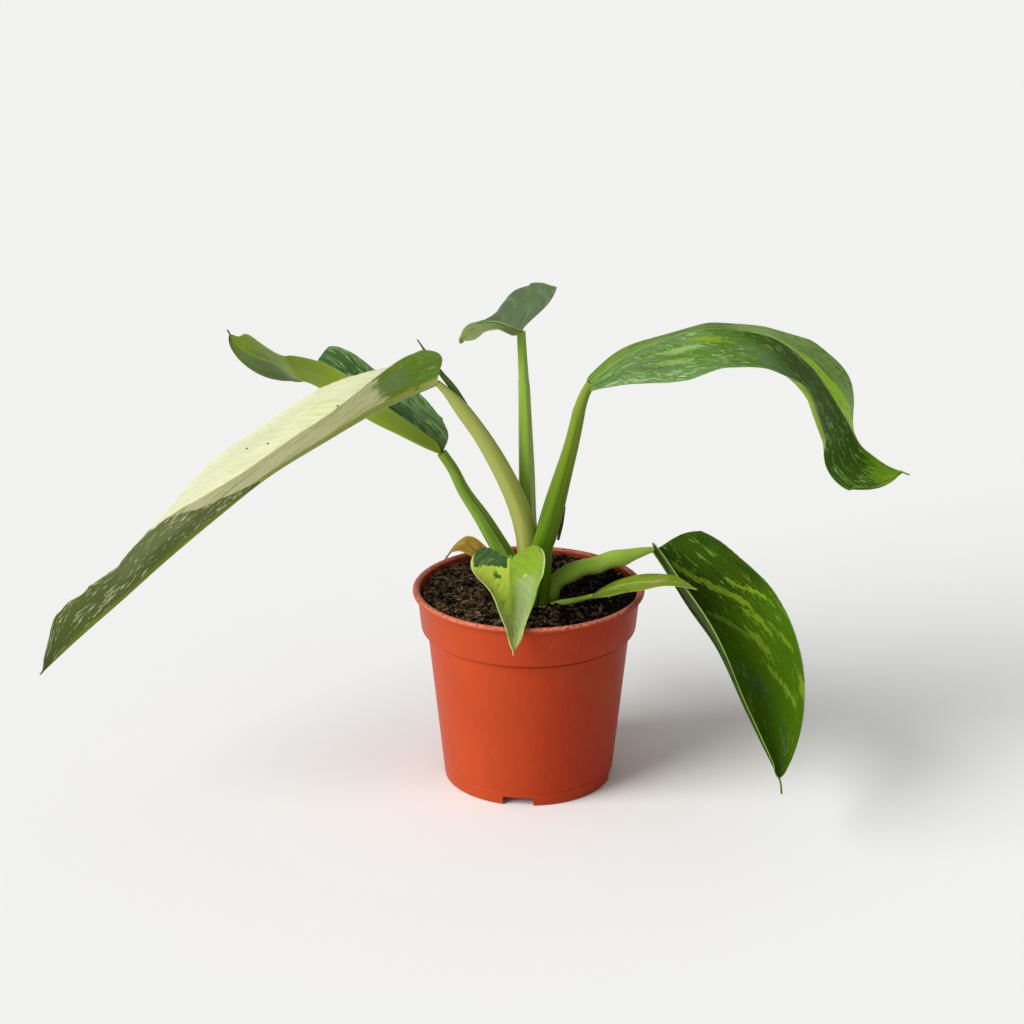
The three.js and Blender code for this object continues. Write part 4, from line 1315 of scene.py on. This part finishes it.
def pot_profile(pot):
    """Radius and height of the pot's wall, from the axis underneath, over the lip, to the axis."""
    wall = pot.wall
    lip_foot = pot.height - pot.lip_height
    inside = pot.collar_top - wall
    middle = (pot.lip_radius + inside) / 2
    reach = pot.lip_radius - middle
    slope = (pot.collar_height - pot.body_height) / 3
    groove = 0.25 * MM
    ring_radius = pot.base_radius + (pot.body_top - pot.base_radius) * pot.ring_height / pot.body_height
    outside = [
        (0, 0),
        (pot.hub_radius, 0),
        (pot.hub_radius, pot.foot_height),
        (pot.base_radius - wall, pot.foot_height),
        (pot.base_radius - wall, 0),
        (pot.base_radius - 0.3 * MM, 0),
        (pot.base_radius, 0.4 * MM),
        (ring_radius - groove / 4, pot.ring_height - 0.3 * MM),
        (ring_radius - groove, pot.ring_height),
        (ring_radius + groove / 4, pot.ring_height + 0.3 * MM),
        (pot.body_top + groove / 2, pot.body_height - 1.6 * MM),
        (pot.body_top + groove, pot.body_height - 0.5 * MM),
        (pot.body_top - groove / 2, pot.body_height),
        (pot.body_top + 0.2 * MM, pot.body_height + slope * 0.5),
        (pot.collar_foot - 1.3 * MM, pot.collar_height - slope * 1.5),
        (pot.collar_foot - 0.35 * MM, pot.collar_height - slope * 0.9),
        (pot.collar_foot, pot.collar_height),
        (pot.collar_top - 0.15 * MM, lip_foot - 0.8 * MM),
        (pot.collar_top + 0.1 * MM, lip_foot),
    ]
    arc = 12
    lip = []
    for i in range(arc + 1):
        turn = math.pi * (1.12 * i / arc - 0.12)
        height = pot.height - pot.lip_height / 2 * (1 - math.sin(turn))
        lip.append((middle + reach * math.cos(turn), height))
    within = [
        (pot.collar_foot - wall, pot.collar_height + slope / 2),
        (pot.body_top - wall, pot.body_height),
        (pot.base_radius - wall, pot.foot_height + wall),
        (pot.hub_radius - wall, pot.foot_height + wall),
        (pot.hub_radius - wall, wall),
        (0, wall),
    ]
    return outside + lip + within


def spun(profile, steps):
    """A bmesh of a profile of radius and height pairs turned about +Z."""
    bm = bmesh.new()
    corners = [bm.verts.new((radius, 0, height)) for radius, height in profile]
    edges = [bm.edges.new(pair) for pair in zip(corners, corners[1:])]
    bmesh.ops.spin(
        bm,
        geom=corners + edges,
        cent=(0, 0, 0),
        axis=(0, 0, 1),
        angle=2 * math.pi,
        steps=steps,
        use_merge=True,
    )
    bmesh.ops.remove_doubles(bm, verts=bm.verts, dist=1e-6)
    bmesh.ops.recalc_face_normals(bm, faces=bm.faces)
    return bm


def cut_away(piece, cutter):
    """Subtracts a bmesh from a piece for good."""
    mesh = bpy.data.meshes.new("cutter")
    cutter.to_mesh(mesh)
    cutter.free()
    tool = put_in_scene("cutter", mesh)
    modifier = piece.modifiers.new("cut", "BOOLEAN")
    modifier.operation = "DIFFERENCE"
    modifier.solver = "EXACT"
    modifier.object = tool
    graph = bpy.context.evaluated_depsgraph_get()
    cut = bpy.data.meshes.new_from_object(piece.evaluated_get(graph))
    piece.modifiers.remove(modifier)
    old = piece.data
    piece.data = cut
    cut.name = piece.name
    bpy.data.meshes.remove(old)
    bpy.data.objects.remove(tool)
    bpy.data.meshes.remove(mesh)


def soil_height(level, x, y):
    """Height of the peat's middle surface at a point, all in metres."""
    hump_x, hump_y, spread = HUMP[0] * MM, HUMP[1] * MM, HUMP_SPREAD * MM
    away = ((x - hump_x) ** 2 + (y - hump_y) ** 2) / spread**2
    ripple = math.sin(x / (5 * MM) + 1) * math.cos(y / (6 * MM))
    return level + 0.025 * y + 2.5 * MM * math.exp(-away) + 0.7 * MM * ripple


def crumbly(x, y):
    """Fine relief of the peat, in metres."""
    place = Vector((x, y, 0)) / MM
    coarse = noise.fractal(place / 8, 0.8, 2.1, 4)
    ridges = 0.35 - abs(noise.noise(Vector((place.x / 6, place.y / 2.6, 5))))
    fine = abs(noise.noise(Vector((place.x / 2.4, place.y / 1.3, 9)))) - 0.3
    return (1.6 * coarse + 3.2 * ridges + 1.8 * fine) * MM


def stalk_feet():
    """Where each stalk passes through the peat: its middle and its half width there."""
    feet = []
    for leaf in LEAVES.values():
        path = Path(leaf["stalk"])
        for i in range(26):
            t = i / 60
            point = path.point(t)
            # Further up than this, no stalk comes near the peat
            if point.z < 104 * MM:
                feet.append((point, through(leaf["stalk_widths"], t) / 2 * MM))
    return feet


def lump(rng, radius):
    """A bmesh of one irregular crumb."""
    bm = bmesh.new()
    bmesh.ops.create_icosphere(bm, subdivisions=1, radius=radius)
    stretch = Vector((rng.uniform(0.7, 1.3), rng.uniform(0.6, 1.1), rng.uniform(0.5, 0.9)))
    for vertex in bm.verts:
        jitter = 1 + rng.uniform(-0.28, 0.28)
        vertex.co = Vector(a * b * jitter for a, b in zip(vertex.co, stretch))
    turn = Matrix.Rotation(rng.uniform(0, 2 * math.pi), 3, "Z") @ Matrix.Rotation(
        rng.uniform(-0.6, 0.6), 3, "X"
    )
    bmesh.ops.rotate(bm, verts=bm.verts, matrix=turn)
    return bm


def gather(target, source, offset):
    """Adds a bmesh to another at an offset."""
    bmesh.ops.translate(source, verts=source.verts, vec=offset)
    mesh = bpy.data.meshes.new("part")
    source.to_mesh(mesh)
    source.free()
    target.from_mesh(mesh)
    bpy.data.meshes.remove(mesh)


def fibre(rng, start, length, radius, lie):
    """A bmesh of one thin bent fibre that lies near a surface; lie gives its height."""
    heading = rng.uniform(0, 2 * math.pi)
    bend = rng.uniform(-1.4, 1.4)
    rise = rng.uniform(0.0, 1.0)
    bm = round_bar(5, 7, 0.4)
    for vertex in bm.verts:
        t = (vertex.co.z + 1) / 2
        turn = heading + bend * t
        x = start[0] + length * t * math.cos(turn)
        y = start[1] + length * t * math.sin(turn)
        z = lie(x, y) + (0.4 + rise * 1.2 * math.sin(math.pi * t)) * MM
        across = Vector((-math.sin(turn), math.cos(turn), 0))
        taper = radius * (1 - 0.6 * t)
        vertex.co = Vector((x, y, z)) + across * (vertex.co.x * taper)
        vertex.co.z += vertex.co.y * taper
    bmesh.ops.recalc_face_normals(bm, faces=bm.faces)
    return bm


def build_peat(peat, feet, surface):
    """The peat: its crumbly surface with a dip round each stalk, and a plain side and base."""
    bm = bmesh.new()
    bmesh.ops.create_grid(bm, x_segments=210, y_segments=210, size=1)
    ridge_layer = bm.verts.layers.float.new("ridge")
    for vertex in bm.verts:
        x, y = vertex.co.x, vertex.co.y
        flat = Vector((x * math.sqrt(1 - y * y / 2), y * math.sqrt(1 - x * x / 2), 0))
        edge = flat.length
        flat *= peat.radius
        z = surface(flat.x, flat.y)
        vertex[ridge_layer] = crumbly(flat.x, flat.y) / MM
        # It rises by 1.6 mm over the last sixth of the way to the wall
        z += 1.6 * MM * max(0, edge - 0.84) / 0.16
        for foot, half in feet:
            across = math.hypot(flat.x - foot.x, flat.y - foot.y)
            if across < half + 0.1 * MM and foot.z < z + 2 * MM:
                z = min(z, foot.z - 1 * MM, 96 * MM)
        vertex.co = (flat.x, flat.y, z)
    bmesh.ops.recalc_face_normals(bm, faces=bm.faces)
    bm.normal_update()
    if bm.faces[0].normal.z < 0:
        bmesh.ops.reverse_faces(bm, faces=bm.faces)
    for radius, height in PEAT_WALL:
        border = [e for e in bm.edges if e.is_boundary]
        made = bmesh.ops.extrude_edge_only(bm, edges=border)
        for vertex in (g for g in made["geom"] if isinstance(g, bmesh.types.BMVert)):
            flat = Vector((vertex.co.x, vertex.co.y, 0)).normalized() * (radius * MM)
            vertex.co = (flat.x, flat.y, height * MM)
    border = [e for e in bm.edges if e.is_boundary]
    bmesh.ops.contextual_create(bm, geom=border)
    bmesh.ops.recalc_face_normals(bm, faces=bm.faces)
    finish_mesh("peat", bm, peat_material(peat), ["soil"])


def clearance(feet, x, y):
    """How far a place on the peat is from the nearest stalk."""
    return min(math.hypot(x - foot.x, y - foot.y) - half for foot, half in feet)


def build_crumbs(peat, feet, surface, rng):
    """Loose crumbs: a sixth on the hump, a sixth along the rim and the rest all over."""
    crumbs = bmesh.new()
    for i in range(peat.crumbs):
        if i % 6 == 0:
            place = Vector((*HUMP, 0)) + Vector((rng.gauss(0, 11), rng.gauss(0, 8), 0))
        else:
            near_rim = i % 6 == 1
            reach = rng.uniform(51, CRUMB_REACH) if near_rim else 53.5 * math.sqrt(rng.random())
            turn = rng.uniform(0, 2 * math.pi)
            place = Vector((reach * math.cos(turn), reach * math.sin(turn), 0))
        if place.length > CRUMB_REACH:
            continue
        place *= MM
        size = peat.crumb * rng.choice((0.5, 0.6, 0.8, 1, 1.5))
        if clearance(feet, place.x, place.y) < size * 1.3:
            continue
        place.z = surface(place.x, place.y) + size * 0.2
        gather(crumbs, lump(rng, size), place)
    bmesh.ops.recalc_face_normals(crumbs, faces=crumbs.faces)
    finish_mesh("peat_crumbs", crumbs, peat_material(peat, "peat_crumb", 0.3), [])


def build_fibres(peat, feet, surface, rng):
    """Loose fibres, none of them close to a stalk."""
    strands = bmesh.new()
    for _ in range(peat.fibres):
        reach = FIBRE_REACH * math.sqrt(rng.random()) * MM
        turn = rng.uniform(0, 2 * math.pi)
        start = (reach * math.cos(turn), reach * math.sin(turn))
        length = rng.uniform(3, 11) * MM
        radius = rng.choice((0.12, 0.16, 0.22, 0.34)) * MM
        if clearance(feet, *start) < 6 * MM:
            continue
        gather(strands, fibre(rng, start, length, radius, surface), (0, 0, 0))
    finish_mesh("peat_fibres", strands, fibre_material(peat), [])


def build_grains(peat, surface, rng):
    """The few pale grains."""
    grains = bmesh.new()
    for x, y, size in GRAINS:
        spot = Vector((x * MM, y * MM, surface(x * MM, y * MM) + 0.3 * size * MM))
        gather(grains, lump(rng, size * MM), spot)
    bmesh.ops.recalc_face_normals(grains, faces=grains.faces)
    finish_mesh("pale_grains", grains, grain_material(peat), [])


class PLANT_OT_pot(bpy.types.Operator):
    """Builds the nursery pot"""

    bl_idname = "plant.pot"
    bl_label = "Pot"

    def execute(self, context):
        pot = context.scene.plant_pot
        sides = 144
        bm = spun(pot_profile(pot), sides)
        piece = finish_mesh("nursery_pot", bm, pot_material(pot), ["pot"], POT_SHARP_TURN)
        for i in range(4):
            turn = Matrix.Rotation(-math.pi / 2 + NOTCH_TURN + i * math.pi / 2, 4, "Z")
            notch = bmesh.new()
            bmesh.ops.create_cube(notch, size=1)
            size = (NOTCH_DEPTH * MM, pot.notch_width, pot.foot_height * 2)
            bmesh.ops.scale(notch, verts=notch.verts, vec=size)
            bmesh.ops.bevel(
                notch,
                geom=[e for e in notch.edges if abs(e.verts[0].co.x - e.verts[1].co.x) > 1e-6],
                offset=NOTCH_ROUNDING * MM,
                segments=3,
                profile=0.5,
                affect="EDGES",
                material=-1,
            )
            bmesh.ops.translate(notch, verts=notch.verts, vec=(pot.base_radius, 0, 0))
            bmesh.ops.transform(notch, matrix=turn, verts=notch.verts)
            cut_away(piece, notch)
            drain = bmesh.new()
            bmesh.ops.create_cone(
                drain,
                cap_ends=True,
                cap_tris=False,
                segments=24,
                radius1=pot.drain_radius,
                radius2=pot.drain_radius,
                depth=3 * pot.wall,
            )
            place = (DRAIN_REACH * MM, 0, pot.foot_height + pot.wall / 2)
            bmesh.ops.translate(drain, verts=drain.verts, vec=place)
            bmesh.ops.transform(drain, matrix=turn, verts=drain.verts)
            cut_away(piece, drain)
        bm = bmesh.new()
        bm.from_mesh(piece.data)
        smooth_but_sharp(bm, POT_SHARP_TURN)
        bm.to_mesh(piece.data)
        bm.free()
        return {"FINISHED"}


class PLANT_OT_peat(bpy.types.Operator):
    """Builds the peat with its crumbs, fibres and pale grains"""

    bl_idname = "plant.peat"
    bl_label = "Peat"

    def execute(self, context):
        peat = context.scene.plant_peat
        feet = stalk_feet()

        def surface(x, y):
            return soil_height(peat.level, x, y) + crumbly(x, y)

        rng = random.Random(11)
        build_peat(peat, feet, surface)
        build_crumbs(peat, feet, surface, rng)
        build_fibres(peat, feet, surface, rng)
        build_grains(peat, surface, rng)
        return {"FINISHED"}


class PLANT_OT_crown(bpy.types.Operator):
    """Gives the crown under the peat its bark"""

    bl_idname = "plant.crown"
    bl_label = "Crown"

    def execute(self, context):
        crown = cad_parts["crown"]
        crown.data.materials.clear()
        crown.data.materials.append(
            crown_material(context.scene.plant_peat, context.scene.plant_stalks)
        )
        return {"FINISHED"}


class PLANT_OT_stalks(bpy.types.Operator):
    """Builds the seven grooved stalks"""

    bl_idname = "plant.stalks"
    bl_label = "Stalks"

    def execute(self, context):
        scene = context.scene
        for seed, (name, leaf) in enumerate(LEAVES.items()):
            sheath = SHEATHS.get(name)
            material = stalk_material(
                name, STALK_LOOKS[name], sheath, scene.plant_stalks, scene.plant_leaves, 1.7 * seed
            )
            build_rod(
                "grooved_stalk_" + name,
                leaf["stalk"],
                leaf["heading"],
                leaf["stalk_widths"],
                material,
                ["stalk_" + name],
                ripple=STALK_RIPPLES.get(name, 0.0),
                sheath=sheath,
            )
        return {"FINISHED"}


class PLANT_OT_blades(bpy.types.Operator):
    """Builds the seven leaf blades"""

    bl_idname = "plant.blades"
    bl_label = "Blades"

    def execute(self, context):
        settings = context.scene.plant_leaves
        for seed, (name, leaf) in enumerate(LEAVES.items()):
            look = BLADE_LOOKS[name]
            material = blade_material(name, leaf, look, settings, 1.3 * seed)
            grid = LARGE_GRID if leaf["half_width"] > LARGE_FROM else SMALL_GRID
            build_blade(
                "leaf_" + name,
                "blade_" + name,
                leaf,
                look,
                settings,
                material,
                grid,
            )
        return {"FINISHED"}


class PLANT_OT_young_and_old(bpy.types.Operator):
    """Builds the newest rolled leaf, the dried sheath and the withered leaf"""

    bl_idname = "plant.young_and_old"
    bl_label = "Newest and withered leaves"

    def execute(self, context):
        scene = context.scene
        stalks = scene.plant_stalks
        spear_green = stalks.spear
        build_rod(
            "rolled_new_leaf",
            SPEAR,
            LEAVES["long_cream"]["heading"],
            SPEAR_WIDTHS,
            dry_material("new_leaf", spear_green, tuple(1.5 * c for c in spear_green), 0.4),
            ["new_leaf_spear"],
            sides=16,
            steps=30,
        )
        build_rod(
            "dried_strip",
            DRIED_SHEATH,
            LEAVES["arching"]["heading"],
            DRIED_WIDTHS,
            dry_material("dried_strip", stalks.dry, stalks.rust, 0.85),
            ["dried_sheath"],
            sides=12,
            steps=20,
        )
        build_blade(
            "withered_small_leaf",
            "withered_leaf",
            WITHERED,
            {**USUAL_LOOK, "vein_skew": 0.2},
            scene.plant_leaves,
            dry_material("withered", stalks.straw, stalks.rust, 0.7),
            WITHERED_GRID,
        )
        return {"FINISHED"}


class PLANT_OT_stage(bpy.types.Operator):
    """Sets the camera, floor and lights"""

    bl_idname = "plant.stage"
    bl_label = "Stage"

    def execute(self, context):
        scene = context.scene
        stage = scene.plant_stage
        camera_data = bpy.data.cameras.new("camera")
        camera_data.lens = stage.lens
        camera_data.sensor_width = 36
        camera = put_in_scene("camera", camera_data)
        camera.location = stage.eye
        camera.rotation_euler = (math.pi / 2 - stage.tilt, 0, 0)
        scene.camera = camera

        bm = bmesh.new()
        bmesh.ops.create_grid(bm, x_segments=1, y_segments=1, size=30)
        mesh = bpy.data.meshes.new("floor")
        bm.to_mesh(mesh)
        bm.free()
        floor = put_in_scene("floor", mesh)
        floor.location.z = -FLOOR_DROP
        paint = Paint("floor", roughness=0.9, specular=0.1, ior=1.2)
        tone = paint.noise(paint.object_place(), 3, 2)
        low = tuple(0.985 * c for c in stage.floor)
        mesh.materials.append(paint.finish(paint.mix(tone, low, stage.floor)))

        for name, power, spread, place in (
            ("key", stage.key_power, *KEY_LIGHT),
            ("fill", stage.fill_power, *FILL_LIGHT),
        ):
            light = bpy.data.lights.new(name, "SUN")
            light.energy = power
            light.angle = math.radians(spread)
            lamp = put_in_scene(name, light)
            lamp.location = place
            aim = Vector(LIGHT_AIM) - lamp.location
            lamp.rotation_euler = aim.to_track_quat("-Z", "Y").to_euler()

        world = bpy.data.worlds.new("studio")
        world.use_nodes = True
        back = world.node_tree.nodes["Background"]
        back.inputs["Color"].default_value = (1, 1, 1, 1)
        back.inputs["Strength"].default_value = stage.sky
        scene.world = world
        scene.view_settings.view_transform = "Standard"
        return {"FINISHED"}


class PLANT_PT_sidebar(bpy.types.Panel):
    """Lists the plant's pieces in the 3D view's sidebar"""

    bl_label = "Potted philodendron"
    bl_idname = "PLANT_PT_sidebar"
    bl_space_type = "VIEW_3D"
    bl_region_type = "UI"
    bl_category = "Plant"

    def draw(self, context):
        for operator in OPERATORS:
            self.layout.operator(operator.bl_idname)


OPERATORS = (
    PLANT_OT_stage,
    PLANT_OT_pot,
    PLANT_OT_peat,
    PLANT_OT_crown,
    PLANT_OT_stalks,
    PLANT_OT_blades,
    PLANT_OT_young_and_old,
)
SETTINGS = {
    "plant_pot": PlantPotSettings,
    "plant_peat": PlantPeatSettings,
    "plant_leaves": PlantLeafSettings,
    "plant_stalks": PlantStalkSettings,
    "plant_stage": PlantStageSettings,
}


def register():
    for group in (*SETTINGS.values(), *OPERATORS, PLANT_PT_sidebar):
        bpy.utils.register_class(group)
    for name, group in SETTINGS.items():
        setattr(bpy.types.Scene, name, PointerProperty(type=group))


def unregister():
    for name in SETTINGS:
        delattr(bpy.types.Scene, name)
    for group in (PLANT_PT_sidebar, *reversed(OPERATORS), *SETTINGS.values()):
        bpy.utils.unregister_class(group)


def main():
    register()
    bpy.ops.plant.stage()
    bpy.ops.plant.pot()
    bpy.ops.plant.peat()
    bpy.ops.plant.crown()
    bpy.ops.plant.stalks()
    bpy.ops.plant.blades()
    bpy.ops.plant.young_and_old()


if __name__ == "__main__":
    main()
